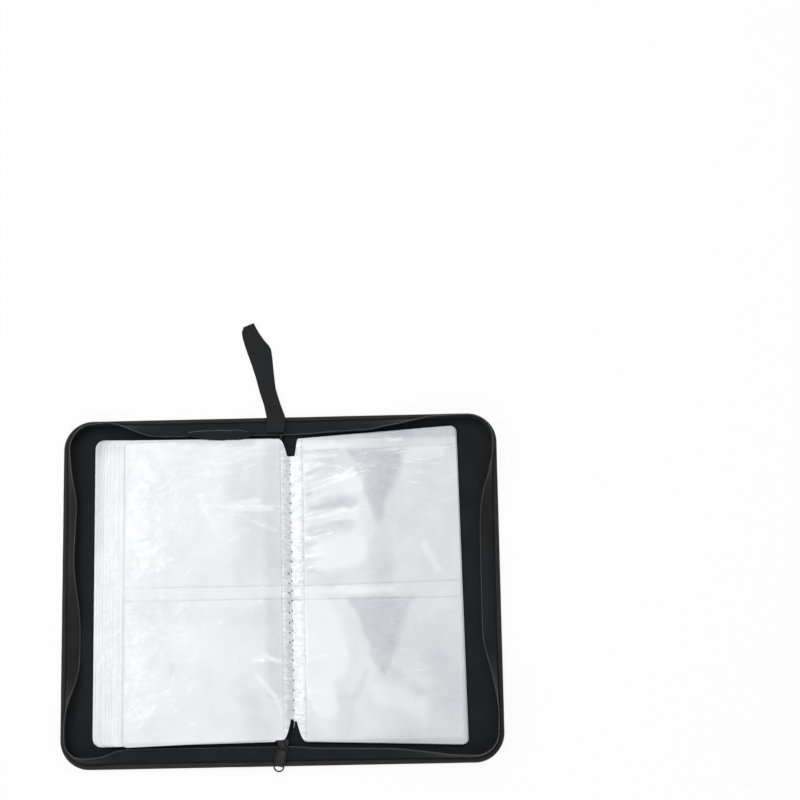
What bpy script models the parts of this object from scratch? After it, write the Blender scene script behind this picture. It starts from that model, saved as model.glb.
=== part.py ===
"""Zippered disc wallet, lying open with its face up.

The two padded covers and the spine between them lie on the table. The origin is the centre of the
spine's underside, +X runs to the right (back) cover, +Y to the wrist strap and +Z is up. Folded
sleeve sheets are sewn along the spine, and a zipper half stands round the three free sides of
each cover. Both covers fold up at the spine's long edges, and the zipper's pull swings on its
slider.
"""

import math

import bmesh
import bpy
from mathutils import Matrix, Vector

MM = 0.001

# Overall size
COVER_WIDTH = 168 * MM
CASE_HEIGHT = 295 * MM
SPINE_WIDTH = 34 * MM
CORNER_RADIUS = 25 * MM

# Layers of a cover
SKIN_THICKNESS = 1.8 * MM
BOARD_THICKNESS = 1.2 * MM
LINING_THICKNESS = 0.4 * MM
LAYER_GAP = 0.3 * MM
MARGIN_RISE = 0.8 * MM
MARGIN_SLOPE = 1.5 * MM
BOARD_INSET = 3.2 * MM
LINING_INSET = 1.6 * MM

# Edge binding ribbon, folded round the covers' edges
RIBBON_THICKNESS = 0.5 * MM
RIBBON_UNDER = 12.0 * MM
RIBBON_OVER = 3.4 * MM
RIBBON_CHAMFER = 0.25 * MM

# Zipper tapes: a sewn foot and a wall that leans in over the sleeves
TAPE_THICKNESS = 0.5 * MM
TAPE_WALL = 12.2 * MM
TAPE_FOOT_INSET = 1.2 * MM
LEAN_CORNER = math.radians(6)
LEAN_OUTER_SIDE = math.radians(64)
LEAN_END_SIDE = math.radians(55)
LEAN_SPINE = math.radians(78)
LEAN_REACH = 52 * MM

# Zipper teeth
TOOTH_SIZE = 1.6 * MM
TOOTH_WAIST = 0.7 * MM
TOOTH_PITCH = 4.0 * MM

# Slider, end stop and pull
SLIDER_X = 1.5 * MM
SLIDER_LENGTH = 10.0 * MM
SLIDER_NOSE_WIDTH = 6.4 * MM
SLIDER_MOUTH_WIDTH = 9.6 * MM
SLIDER_PLATE = 1.0 * MM
SLIDER_POST_WIDTH = 1.6 * MM
SLIDER_WAIST = 1.5 * MM
SLIDER_SHOULDER = 2.5 * MM
SLIDER_WAIST_FLARE = 0.3 * MM
SLIDER_POST_REACH = 3.5 * MM
CHANNEL_GAP = 0.4 * MM
BAIL_WIRE = 1.2 * MM
BAIL_WIDTH = 2.2 * MM
BAIL_RISE = 3.0 * MM
BAIL_SPAN = 5.0 * MM
PULL_LENGTH = 22.0 * MM
PULL_WIDTH = 9.2 * MM
PULL_WIRE = 1.0 * MM
PULL_TURN = math.radians(13)
PULL_DROP = math.radians(12.5)
EYE_DEPTH = 2.6 * MM
PLATE_LENGTH = 14.0 * MM
PLATE_THICKNESS = 0.6 * MM
PLATE_RIM = 1.0 * MM
STOP_LENGTH = 5.0 * MM
STOP_HEIGHT = 3.0 * MM

# Sleeve sheets
SHEET_PITCH = 5.6 * MM
SHEET_COUNT = 6
OPEN_AT = 5
SHEET_THICKNESS = 0.5 * MM
LEAF_PITCH = 1.0 * MM
LEAF_END_CLEARANCE = 20 * MM
LEAF_SIDE_CLEARANCE = 36 * MM
LEAF_CORNER = 5.0 * MM
LEAF_STEP = 3.2 * MM
FLANGE_WIDTH = 8.5 * MM
FLANGE_SHOULDER = 17.5 * MM
FOLD_PITCH = 0.8 * MM
RIGHT_LIFT = 0.5 * MM
SEW_GAP = 0.4 * MM

# Wrist strap: a flattened loop of ribbon sewn to the spine's top end
STRAP_WIDTH = 16.0 * MM
STRAP_THICKNESS = 1.1 * MM
STRAP_LAYER_GAP = 0.4 * MM
STRAP_ROOT_INSET = 14.5 * MM
STRAP_ROOT_X = -2.6 * MM
STRAP_REACH = 84 * MM
STRAP_STEPS = (0.12, 0.25, 0.4, 0.6, 0.8)
STRAP_SWING = math.radians(16)
STRAP_FLARE = 3.0 * MM
STRAP_SHOULDER_LEFT = (-3.4 * MM, 10.6 * MM)
STRAP_SHOULDER_RIGHT = (-6.5 * MM, 8.8 * MM)
STRAP_TIP_X = -23.1 * MM
STRAP_TIP_WIDTH = 12.0 * MM
STRAP_TIP_SLANT = 6.0 * MM
STRAP_DROP = 18 * MM

HINGE_GAP = 0.2 * MM
STATION_FIRST = 12 * MM
CORNER_STEPS = 7
LOOP_STEPS = 8

# Heights worked out from the layers
AXIS_Z = SKIN_THICKNESS
BOARD_Z = SKIN_THICKNESS + LAYER_GAP
LINING_Z = BOARD_Z + BOARD_THICKNESS + LAYER_GAP
LINING_TOP = LINING_Z + LINING_THICKNESS
TAPE_Z = LINING_TOP + LAYER_GAP
TAPE_TOP = TAPE_Z + TAPE_THICKNESS
RIBBON_LIP_Z = TAPE_TOP + LAYER_GAP
RIBBON_TOP = RIBBON_LIP_Z + RIBBON_THICKNESS
SKIN_INSET = RIBBON_THICKNESS + LAYER_GAP
WALL_INSET = RIBBON_OVER + TAPE_THICKNESS + 2 * LAYER_GAP
HALF_SPINE = SPINE_WIDTH / 2
HALF_HEIGHT = CASE_HEIGHT / 2
SHEET_Z = LINING_TOP + LAYER_GAP
LEAF_HEIGHT = CASE_HEIGHT - 2 * LEAF_END_CLEARANCE
LEAF_WIDTH = COVER_WIDTH - LEAF_SIDE_CLEARANCE
FLANGE_HEIGHT = LEAF_HEIGHT - 2 * FLANGE_SHOULDER

MATERIALS = {
    "leatherette": ((0.021, 0.023, 0.027), 0.42, 0.0),
    "binding_ribbon": ((0.013, 0.013, 0.014), 0.72, 0.0),
    "stiffener_board": ((0.19, 0.17, 0.14), 0.85, 0.0),
    "lining_cloth": ((0.010, 0.010, 0.011), 0.80, 0.0),
    "zipper_tape": ((0.012, 0.013, 0.013), 0.80, 0.0),
    "nylon_teeth": ((0.030, 0.032, 0.033), 0.38, 0.0),
    "black_metal": ((0.020, 0.020, 0.021), 0.34, 0.6),
    "sleeve_sheet": ((0.62, 0.63, 0.64), 0.45, 0.0),
    "webbing": ((0.012, 0.012, 0.013), 0.78, 0.0),
}

BODY_PIVOTS = {
    "back_cover": Vector((0.0, 0.0, 0.0)),
    "spine": Vector((HALF_SPINE, 0.0, AXIS_Z)),
    "front_cover": Vector((-HALF_SPINE, 0.0, AXIS_Z)),
}


def clear_scene():
    """Remove whatever the file opened with."""
    for item in list(bpy.data.objects):
        bpy.data.objects.remove(item, do_unlink=True)


def make_material(name):
    """A Principled material with the finish's colour, roughness and metallic value."""
    material = bpy.data.materials.get(name)
    if material is None:
        colour, roughness, metallic = MATERIALS[name]
        material = bpy.data.materials.new(name)
        material.use_nodes = True
        shader = material.node_tree.nodes["Principled BSDF"]
        shader.inputs["Base Color"].default_value = (*colour, 1.0)
        shader.inputs["Roughness"].default_value = roughness
        shader.inputs["Metallic"].default_value = metallic
    return material


def make_bodies():
    """One empty per moving body, standing on its joint's axis."""
    parents = {None: None}
    chain = (("back_cover", None), ("spine", "back_cover"), ("front_cover", "spine"))
    for name, parent in chain:
        empty = bpy.data.objects.new("body_" + name, None)
        bpy.context.collection.objects.link(empty)
        empty.parent = parents[parent]
        empty.location = BODY_PIVOTS[name]
        if parent:
            empty.location -= BODY_PIVOTS[parent]
        parents[name] = empty
    return parents


def add_piece(name, mesh, material, body, parents, sharp=35):
    """Turn a bmesh drawn in the case's frame into a named object that rides on its body."""
    bmesh.ops.recalc_face_normals(mesh, faces=mesh.faces)
    bmesh.ops.translate(mesh, vec=-BODY_PIVOTS[body], verts=mesh.verts)
    data = bpy.data.meshes.new(name)
    mesh.to_mesh(data)
    mesh.free()
    data.shade_smooth()
    data.set_sharp_from_angle(angle=math.radians(sharp))
    data.materials.append(make_material(material))
    piece = bpy.data.objects.new(name, data)
    piece.parent = parents[body]
    bpy.context.collection.objects.link(piece)
    return piece


def loft(rings, twisted=False):
    """A closed body through rings with the same number of points, with flat ends.

    On a thin twisted wall both faces are split from the lower near point to the upper far one,
    so that they don't pass through each other.
    """
    mesh = bmesh.new()
    loops = [[mesh.verts.new(point) for point in ring] for ring in rings]
    for near, far in zip(loops, loops[1:]):
        for index in range(len(near)):
            after = (index + 1) % len(near)
            one, two, three, four = near[index], near[after], far[after], far[index]
            if not twisted:
                mesh.faces.new((one, two, three, four))
            elif one.co.z <= two.co.z:
                mesh.faces.new((one, two, three))
                mesh.faces.new((one, three, four))
            else:
                mesh.faces.new((one, two, four))
                mesh.faces.new((two, three, four))
    mesh.faces.new(loops[0][::-1])
    mesh.faces.new(loops[-1])
    return mesh


def smooth_step(value):
    """Ease from 0 to 1."""
    value = min(max(value, 0.0), 1.0)
    return value * value * (3 - 2 * value)


def setback(height):
    """How far a layer stops short of a hinge line, so that a quarter turn closes the V."""
    return HINGE_GAP + max(0.0, height - AXIS_Z)


class EdgePath:
    """The free edge of one cover: bottom side, corner, outer side, corner, top side."""

    def __init__(self, side):
        self.side = side
        self.end_run = COVER_WIDTH - CORNER_RADIUS
        self.outer_run = CASE_HEIGHT - 2 * CORNER_RADIUS
        self.arc = CORNER_RADIUS * math.pi / 2
        self.length = 2 * self.end_run + self.outer_run + 2 * self.arc

    def at(self, run):
        """Point on the outer edge and the unit vector that points into the cover."""
        half = self.length / 2
        mirrored = run > half
        run = self.length - run if mirrored else run
        corner_x = HALF_SPINE + self.end_run
        corner_y = HALF_HEIGHT - CORNER_RADIUS
        if run <= self.end_run:
            point = Vector((HALF_SPINE + run, -HALF_HEIGHT, 0.0))
            inward = Vector((0.0, 1.0, 0.0))
        elif run <= self.end_run + self.arc:
            angle = (run - self.end_run) / CORNER_RADIUS
            inward = Vector((-math.sin(angle), math.cos(angle), 0.0))
            centre = Vector((corner_x, -corner_y, 0.0))
            point = centre - inward * CORNER_RADIUS
        else:
            rest = run - self.end_run - self.arc
            point = Vector((HALF_SPINE + COVER_WIDTH, -corner_y + rest, 0.0))
            inward = Vector((-1.0, 0.0, 0.0))
        flip = -1.0 if mirrored else 1.0
        point = Vector((point.x * self.side, point.y * flip, 0.0))
        inward = Vector((inward.x * self.side, inward.y * flip, 0.0))
        return point, inward

    def lean(self, run):
        """How far the zipper wall leans in: least at the corners, most at the spine."""
        run = min(run, self.length - run)
        corner = self.end_run + self.arc / 2
        if run < corner:
            side_lean = LEAN_END_SIDE
            from_spine = smooth_step(run / LEAN_REACH)
            side_lean = LEAN_SPINE + (side_lean - LEAN_SPINE) * from_spine
        else:
            side_lean = LEAN_OUTER_SIDE
        away = smooth_step((abs(run - corner) - self.arc / 4) / LEAN_REACH)
        return LEAN_CORNER + (side_lean - LEAN_CORNER) * away

    def stations(self, first, straight_steps):
        """Runs along the edge: both ends, even steps on the straights, finer ones in corners."""
        half = [0.0]
        span = self.end_run - first
        half += [first + span * i / straight_steps for i in range(straight_steps + 1)]
        half += [self.end_run + self.arc * i / CORNER_STEPS for i in range(1, CORNER_STEPS + 1)]
        start = self.end_run + self.arc
        half += [start + self.outer_run / 2 * i / straight_steps for i in range(1, straight_steps)]
        return half + [self.length / 2] + [self.length - run for run in reversed(half)]

    def place(self, run, inset, height):
        """A point of the section, cut back to the V where it reaches the hinge line."""
        point, inward = self.at(run)
        spot = point + inward * inset
        spot.z = height
        limit = HALF_SPINE + setback(height)
        if abs(spot.x) < limit:
            spot.x = self.side * limit
        return spot

    def outline(self, inset, height, stations):
        """The edge at one inset and height, as a ring closed along the hinge line."""
        return [self.place(run, inset, height) for run in stations]


def ribbon_section():
    """The binding ribbon: a C folded round the edge, as (inset, height) pairs."""
    under = RIBBON_THICKNESS + RIBBON_UNDER
    over = RIBBON_THICKNESS + RIBBON_OVER
    return [
        (under, 0.0),
        (RIBBON_CHAMFER, 0.0),
        (0.0, RIBBON_CHAMFER),
        (0.0, RIBBON_TOP - RIBBON_CHAMFER),
        (RIBBON_CHAMFER, RIBBON_TOP),
        (over, RIBBON_TOP),
        (over, RIBBON_LIP_Z),
        (RIBBON_THICKNESS, RIBBON_LIP_Z),
        (RIBBON_THICKNESS, RIBBON_THICKNESS),
        (under, RIBBON_THICKNESS),
    ]


def tape_section(lean):
    """The zipper tape: a flat foot and a wall that leans in by the given angle."""
    rise = math.cos(lean)
    reach = math.sin(lean)
    shift = TAPE_THICKNESS * (1 - reach) / rise
    tip = (WALL_INSET + TAPE_WALL * reach, TAPE_Z + TAPE_WALL * rise)
    bend = WALL_INSET - TAPE_THICKNESS * rise + shift * reach
    return [
        (TAPE_FOOT_INSET, TAPE_Z),
        (WALL_INSET, TAPE_Z),
        tip,
        (tip[0] - TAPE_THICKNESS * rise, tip[1] + TAPE_THICKNESS * reach),
        (bend, TAPE_TOP),
        (TAPE_FOOT_INSET, TAPE_TOP),
    ]


def tooth_centre(lean):
    """Centre of the teeth, just past the tape's edge, as (inset, height)."""
    along = TAPE_WALL + LAYER_GAP + TOOTH_SIZE / 2
    across = TAPE_THICKNESS / 2
    inset = WALL_INSET + along * math.sin(lean) - across * math.cos(lean)
    return inset, TAPE_Z + along * math.cos(lean) + across * math.sin(lean)


def tooth_section(lean, size):
    """A square across the row of teeth, turned with the tape."""
    inset, height = tooth_centre(lean)
    rise, reach = math.cos(lean) * size / 2, math.sin(lean) * size / 2
    return [
        (inset + reach - rise, height + rise + reach),
        (inset + reach + rise, height + rise - reach),
        (inset - reach + rise, height - rise - reach),
        (inset - reach - rise, height - rise + reach),
    ]


def build_cover(name, side, parents):
    """Padded skin, stiffener, lining, binding, zipper tape and teeth of one cover."""
    path = EdgePath(side)
    stations = path.stations(STATION_FIRST, straight_steps=2)
    under_inset = RIBBON_THICKNESS + RIBBON_UNDER + LAYER_GAP
    skin = loft([
        path.outline(under_inset + MARGIN_SLOPE, 0.0, stations),
        path.outline(under_inset, MARGIN_RISE, stations),
        path.outline(SKIN_INSET, MARGIN_RISE, stations),
        path.outline(SKIN_INSET, SKIN_THICKNESS, stations),
    ])
    add_piece(name + "_cover_skin", skin, "leatherette", name + "_cover", parents)

    board = loft([
        path.outline(BOARD_INSET, BOARD_Z, stations),
        path.outline(BOARD_INSET, BOARD_Z + BOARD_THICKNESS, stations),
    ])
    add_piece(name + "_cover_board", board, "stiffener_board", name + "_cover", parents)

    lining = loft([
        path.outline(LINING_INSET, LINING_Z, stations),
        path.outline(LINING_INSET, LINING_TOP, stations),
    ])
    add_piece(name + "_cover_lining", lining, "lining_cloth", name + "_cover", parents)

    ribbon = loft([
        [path.place(run, inset, height) for inset, height in ribbon_section()]
        for run in stations
    ])
    add_piece(name + "_cover_binding", ribbon, "binding_ribbon", name + "_cover", parents)

    tape = loft([
        [path.place(run, inset, height) for inset, height in tape_section(path.lean(run))]
        for run in path.stations(STATION_FIRST, straight_steps=12)
    ], twisted=True)
    add_piece(name + "_zipper_tape", tape, "zipper_tape", name + "_cover", parents)

    top = max(height for _, height in tooth_section(path.lean(0.0), TOOTH_SIZE))
    start = setback(top) + LAYER_GAP
    count = round((path.length - 2 * start) / TOOTH_PITCH)
    rings = []
    for index in range(2 * count + 1):
        run = start + (path.length - 2 * start) * index / (2 * count)
        size = TOOTH_SIZE if index % 2 else TOOTH_WAIST
        section = tooth_section(path.lean(run), size)
        rings.append([path.place(run, inset, height) for inset, height in section])
    add_piece(name + "_zipper_teeth", loft(rings), "nylon_teeth", name + "_cover", parents)


def spine_ring(half_length, height):
    """A rectangle across the spine, cut back to the hinge lines at its height."""
    half = HALF_SPINE - setback(height)
    return [
        (-half, -half_length, height),
        (half, -half_length, height),
        (half, half_length, height),
        (-half, half_length, height),
    ]


def build_spine(parents):
    """Skin, stiffener, lining and the binding at both ends of the spine."""
    under = HALF_HEIGHT - RIBBON_THICKNESS - RIBBON_UNDER - LAYER_GAP
    skin = loft([
        spine_ring(under - MARGIN_SLOPE, 0.0),
        spine_ring(under, MARGIN_RISE),
        spine_ring(HALF_HEIGHT - SKIN_INSET, MARGIN_RISE),
        spine_ring(HALF_HEIGHT - SKIN_INSET, SKIN_THICKNESS),
    ])
    add_piece("spine_skin", skin, "leatherette", "spine", parents)
    board = loft([
        spine_ring(HALF_HEIGHT - BOARD_INSET, BOARD_Z),
        spine_ring(HALF_HEIGHT - BOARD_INSET, BOARD_Z + BOARD_THICKNESS),
    ])
    add_piece("spine_board", board, "stiffener_board", "spine", parents)
    lining = loft([
        spine_ring(HALF_HEIGHT - LINING_INSET, LINING_Z),
        spine_ring(HALF_HEIGHT - LINING_INSET, LINING_TOP),
    ])
    add_piece("spine_lining", lining, "lining_cloth", "spine", parents)
    for name, end in (("bottom", -1), ("top", 1)):
        rings = []
        for side in (-1, 1):
            rings.append([
                Vector((side * (HALF_SPINE - setback(z)), end * (HALF_HEIGHT - inset), z))
                for inset, z in ribbon_section()
            ])
        add_piece("spine_binding_" + name, loft(rings), "binding_ribbon", "spine", parents)


def build_zipper_ends(parents):
    """The tapes' last stretches, which cross the spine and meet at the slider and the stop."""
    centres = {"bottom": (-1, SLIDER_X), "top": (1, SLIDER_X)}
    for end_name, (end, centre_x) in centres.items():
        for side_name, side in (("front", -1), ("back", 1)):
            inner = centre_x + side * (SLIDER_POST_WIDTH / 2 + LAYER_GAP)

            def spot(x_inner, inset, z):
                """A section point at the meeting, or cut back to the V where none is given."""
                x = side * (HALF_SPINE - setback(z)) if x_inner is None else x_inner
                return Vector((x, end * (HALF_HEIGHT - inset), z))

            section = tape_section(LEAN_SPINE)
            tape = loft([
                [spot(inner, inset, z) for inset, z in section],
                [spot(None, inset, z) for inset, z in section],
            ])
            label = end_name + "_" + side_name
            add_piece("zipper_end_tape_" + label, tape, "zipper_tape", "spine", parents)

            top = max(z for _, z in tooth_section(LEAN_SPINE, TOOTH_SIZE))
            outer = side * (HALF_SPINE - setback(top) - LAYER_GAP)
            count = max(1, round(abs(outer - inner) / TOOTH_PITCH))
            rings = []
            for index in range(2 * count + 1):
                x = inner + (outer - inner) * index / (2 * count)
                size = TOOTH_SIZE if index % 2 else TOOTH_WAIST
                rings.append([spot(x, inset, z) for inset, z in tooth_section(LEAN_SPINE, size)])
            name = "zipper_end_teeth_" + label
            add_piece(name, loft(rings), "nylon_teeth", "spine", parents)


def tape_frame(end):
    """Frame on the teeth at one end of the spine: x across, y in along the tape, z off it."""
    inset, height = tooth_centre(LEAN_SPINE)
    origin = Vector((SLIDER_X, end * (HALF_HEIGHT - inset), height))
    along = Vector((0.0, -end * math.sin(LEAN_SPINE), math.cos(LEAN_SPINE)))
    across = Vector((-end, 0.0, 0.0))
    off = across.cross(along)
    matrix = Matrix((across, along, off)).transposed().to_4x4()
    matrix.translation = origin
    return matrix


def slab(outline, low, high):
    """A flat plate with the given outline, between two heights."""
    return [[(x, y, low) for x, y in outline], [(x, y, high) for x, y in outline]]


def join_union(name, meshes, material, body, parents):
    """One closed body from several overlapping ones."""
    first = add_piece(name, meshes[0], material, body, parents)
    for index, mesh in enumerate(meshes[1:]):
        tool = add_piece(name + "_tool_" + str(index), mesh, material, body, parents)
        tool.hide_render = True
        tool.display_type = "WIRE"
        union = first.modifiers.new("join_" + str(index), "BOOLEAN")
        union.operation = "UNION"
        union.solver = "EXACT"
        union.object = tool
    return first


def build_slider(parents):
    """Two shield-shaped plates, the post between them and the bail that holds the pull."""
    frame = tape_frame(-1)
    channel = TOOTH_SIZE / 2 + CHANNEL_GAP
    half = SLIDER_LENGTH / 2
    nose, mouth = SLIDER_NOSE_WIDTH / 2, SLIDER_MOUTH_WIDTH / 2
    shield = [
        (-nose, -half),
        (nose, -half),
        (nose + SLIDER_WAIST_FLARE, -SLIDER_WAIST),
        (mouth, SLIDER_SHOULDER),
        (mouth - SLIDER_PLATE, half),
        (-mouth + SLIDER_PLATE, half),
        (-mouth, SLIDER_SHOULDER),
        (-nose - SLIDER_WAIST_FLARE, -SLIDER_WAIST),
    ]
    post = [
        (-SLIDER_POST_WIDTH / 2, -SLIDER_WAIST),
        (SLIDER_POST_WIDTH / 2, -SLIDER_WAIST),
        (SLIDER_POST_WIDTH / 2, SLIDER_POST_REACH),
        (-SLIDER_POST_WIDTH / 2, SLIDER_POST_REACH),
    ]
    top = channel + SLIDER_PLATE
    meshes = [
        loft(slab(shield, channel, top)),
        loft(slab(shield, -top, -channel)),
        loft(slab(post, -channel - SLIDER_PLATE / 2, channel + SLIDER_PLATE / 2)),
    ]
    ankle = BAIL_SPAN / 2
    arch = []
    for index in range(LOOP_STEPS + 1):
        angle = math.pi * index / LOOP_STEPS
        arch.append((-ankle * math.cos(angle), top + (BAIL_RISE - BAIL_WIRE / 2) * math.sin(angle)))
    arch = [(-ankle, top - SLIDER_PLATE / 2)] + arch + [(ankle, top - SLIDER_PLATE / 2)]
    rings = []
    for index, (y, z) in enumerate(arch):
        before = arch[max(index - 1, 0)]
        after = arch[min(index + 1, len(arch) - 1)]
        tangent = Vector((after[0] - before[0], after[1] - before[1])).normalized()
        normal = Vector((-tangent.y, tangent.x)) * BAIL_WIRE / 2
        wide = BAIL_WIDTH / 2
        rings.append([
            (-wide, y - normal.x, z - normal.y),
            (wide, y - normal.x, z - normal.y),
            (wide, y + normal.x, z + normal.y),
            (-wide, y + normal.x, z + normal.y),
        ])
    meshes.append(loft(rings))
    for mesh in meshes:
        bmesh.ops.transform(mesh, matrix=frame, verts=mesh.verts)
        bmesh.ops.recalc_face_normals(mesh, faces=mesh.faces)
    join_union("zipper_slider", meshes, "black_metal", "spine", parents)
    return frame, top


def build_stop(parents):
    """The end stop that clamps both rows of teeth at the top end."""
    frame = tape_frame(1)
    half = SLIDER_POST_WIDTH / 2
    depth = STOP_LENGTH / 2
    outline = [(-half, -depth), (half, -depth), (half, depth), (-half, depth)]
    mesh = loft(slab(outline, -STOP_HEIGHT / 2, STOP_HEIGHT / 2))
    bmesh.ops.transform(mesh, matrix=frame, verts=mesh.verts)
    add_piece("zipper_end_stop", mesh, "black_metal", "spine", parents)


def tube_ring(point, tangent, radius, sides=8):
    """A ring of points round a wire that runs in a level plane."""
    side = tangent.cross(Vector((0.0, 0.0, 1.0))).normalized()
    up = side.cross(tangent).normalized()
    ring = []
    for index in range(sides):
        angle = 2 * math.pi * index / sides
        ring.append(point + (side * math.cos(angle) + up * math.sin(angle)) * radius)
    return ring


def closed_wire(points, radius):
    """A wire bent round a closed loop of points."""
    mesh = bmesh.new()
    loops = []
    for index, point in enumerate(points):
        tangent = points[(index + 1) % len(points)] - points[index - 1]
        loops.append([mesh.verts.new(p) for p in tube_ring(point, tangent, radius)])
    for index, near in enumerate(loops):
        far = loops[(index + 1) % len(loops)]
        for corner in range(len(near)):
            after = (corner + 1) % len(near)
            mesh.faces.new((near[corner], near[after], far[after], far[corner]))
    return mesh


def build_pull(slider_frame, slider_top, parents):
    """The pull: a long wire loop through the bail, with a plate filling its middle."""
    wire = PULL_WIRE / 2
    hole = slider_top + BAIL_RISE - BAIL_WIRE - wire - LAYER_GAP
    pivot = slider_frame @ Vector((0.0, 0.0, hole))
    turn = Matrix.Rotation(-PULL_TURN, 4, "Z") @ Matrix.Rotation(PULL_DROP, 4, "X")
    frame = Matrix.Translation(pivot) @ turn
    half = PULL_WIDTH / 2 - wire
    far = -PULL_LENGTH + half
    points = []
    for centre, depth, start in ((-EYE_DEPTH, EYE_DEPTH, 0.0), (far, half, math.pi)):
        for index in range(LOOP_STEPS + 1):
            angle = start + math.pi * index / LOOP_STEPS
            points.append(Vector((half * math.cos(angle), centre + depth * math.sin(angle), 0.0)))
    loop = closed_wire(points, wire)
    bmesh.ops.transform(loop, matrix=frame, verts=loop.verts)

    inner = half - wire - LAYER_GAP
    profile = [
        (-inner, -PLATE_THICKNESS / 2),
        (inner, -PLATE_THICKNESS / 2),
        (inner, PLATE_THICKNESS),
        (inner - PLATE_RIM, PLATE_THICKNESS),
        (inner - PLATE_RIM, PLATE_THICKNESS / 2),
        (-inner + PLATE_RIM, PLATE_THICKNESS / 2),
        (-inner + PLATE_RIM, PLATE_THICKNESS),
        (-inner, PLATE_THICKNESS),
    ]
    plate = loft([[(x, y, z) for x, z in profile] for y in (far, far + PLATE_LENGTH)])
    bmesh.ops.transform(plate, matrix=frame, verts=plate.verts)

    BODY_PIVOTS["pull"] = pivot
    empty = bpy.data.objects.new("body_pull", None)
    bpy.context.collection.objects.link(empty)
    empty.parent = parents["spine"]
    empty.location = pivot - BODY_PIVOTS["spine"]
    parents["pull"] = empty
    add_piece("pull_loop", loop, "black_metal", "pull", parents)
    add_piece("pull_plate", plate, "black_metal", "pull", parents)


def sheet_half_height(from_edge, from_sewing):
    """Half the sheet's height: rounded at the free edge, cut back on slanted shoulders."""
    half = LEAF_HEIGHT / 2
    if from_edge < LEAF_CORNER:
        drop = LEAF_CORNER - from_edge
        half -= LEAF_CORNER - math.sqrt(max(LEAF_CORNER ** 2 - drop ** 2, 0.0))
    shoulder = smooth_step(1 - from_sewing / FLANGE_WIDTH)
    return half - (LEAF_HEIGHT - FLANGE_HEIGHT) / 2 * shoulder


def sheet_strip(route):
    """A thin sheet that follows (x, z, half height) stations, with square edges."""
    rings = []
    for index, (x, z, half) in enumerate(route):
        before = route[max(index - 1, 0)]
        after = route[min(index + 1, len(route) - 1)]
        tangent = Vector((after[0] - before[0], 0.0, after[1] - before[1])).normalized()
        normal = Vector((-tangent.z, 0.0, tangent.x)) * SHEET_THICKNESS / 2
        point = Vector((x, 0.0, z))
        side = Vector((0.0, half, 0.0))
        rings.append([
            point - normal - side,
            point - normal + side,
            point + normal + side,
            point + normal - side,
        ])
    return loft(rings)


def leaf_route(side, sew_x, edge_x, low_z, leaf_z):
    """Stations of one leaf from its free edge to just short of its sewing line."""
    width = abs(edge_x - sew_x)
    steps = [0.0, 0.15, 0.4, 1.0]
    runs = [LEAF_CORNER * step for step in steps]
    runs += [width - FLANGE_WIDTH * 1.05]
    runs += [width - FLANGE_WIDTH * (1 - step) for step in (0.1, 0.25, 0.4, 0.55, 0.7, 0.85)]
    route = []
    for run in runs:
        rise = math.sin(min((width - run) / FLANGE_WIDTH, 1.0) * math.pi / 2)
        route.append((
            edge_x - side * run,
            low_z + (leaf_z - low_z) * rise,
            sheet_half_height(run, width - run),
        ))
    return route


def build_sheets(parents):
    """Folded sleeve sheets: those sewn left of the opening lie left, the others right."""
    first_z = SHEET_Z + SHEET_THICKNESS / 2
    left_leaves = 2 * OPEN_AT - 1
    top_edge = sew_line(OPEN_AT) - FLANGE_WIDTH - LEAF_WIDTH
    for number in range(1, OPEN_AT):
        lower = 2 * number - 1
        edges = [top_edge - LEAF_STEP * (left_leaves - leaf) for leaf in (lower, lower + 1)]
        build_folded(number, -1, edges, lower - 1, "front_cover", parents)
    for number in range(SHEET_COUNT, OPEN_AT, -1):
        lower = 2 * (SHEET_COUNT - number)
        top = sew_line(OPEN_AT) + FLANGE_WIDTH + LEAF_WIDTH + LEAF_STEP
        count = 2 * (SHEET_COUNT - OPEN_AT)
        edges = [top + LEAF_STEP * (count - lower - leaf) for leaf in (0, 1)]
        build_folded(number, 1, edges, lower, "back_cover", parents)

    sew_x = sew_line(OPEN_AT)
    low = first_z + SEW_GAP
    halves = (
        ("left", -1, top_edge, first_z + LEAF_PITCH * (left_leaves - 1), "front_cover"),
        ("right", 1, sew_x + FLANGE_WIDTH + LEAF_WIDTH + LEAF_STEP,
         first_z + LEAF_PITCH * 2 * (SHEET_COUNT - OPEN_AT) + RIGHT_LIFT, "back_cover"),
    )
    for label, side, edge_x, leaf_z, body in halves:
        near = sew_x + side * LAYER_GAP
        route = leaf_route(side, sew_x, edge_x, low, leaf_z)
        route.append((near, low, FLANGE_HEIGHT / 2))
        name = "sleeve_sheet_" + str(OPEN_AT) + "_" + label
        add_piece(name, sheet_strip(route), "sleeve_sheet", body, parents)


def sew_line(number):
    """Where a sheet is sewn to the spine."""
    return (number - (SHEET_COUNT + 1) / 2) * SHEET_PITCH


def build_folded(number, side, edges, level, body, parents):
    """One sheet folded at its sewing line, with both its leaves on one side."""
    base = SHEET_Z + SHEET_THICKNESS / 2
    sew_x = sew_line(number)
    lower = leaf_route(side, sew_x, edges[0], base, base + LEAF_PITCH * level)
    fold_z = base + FOLD_PITCH
    upper = leaf_route(side, sew_x, edges[1], fold_z, base + LEAF_PITCH * (level + 1))
    turn = []
    for angle in (-50, 0, 50):
        turn.append((
            sew_x - side * FOLD_PITCH / 2 * math.cos(math.radians(angle)),
            base + FOLD_PITCH / 2 * (1 + math.sin(math.radians(angle))),
            FLANGE_HEIGHT / 2,
        ))
    route = lower + turn + upper[::-1]
    name = "sleeve_sheet_" + str(number)
    add_piece(name, sheet_strip(route), "sleeve_sheet", body, parents)


def tape_height(inset):
    """Height of the end tape's upper face at an inset from the spine's end."""
    slope = math.cos(LEAN_SPINE) / math.sin(LEAN_SPINE)
    return TAPE_TOP + max(0.0, inset - RIBBON_THICKNESS - RIBBON_OVER) * slope


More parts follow.
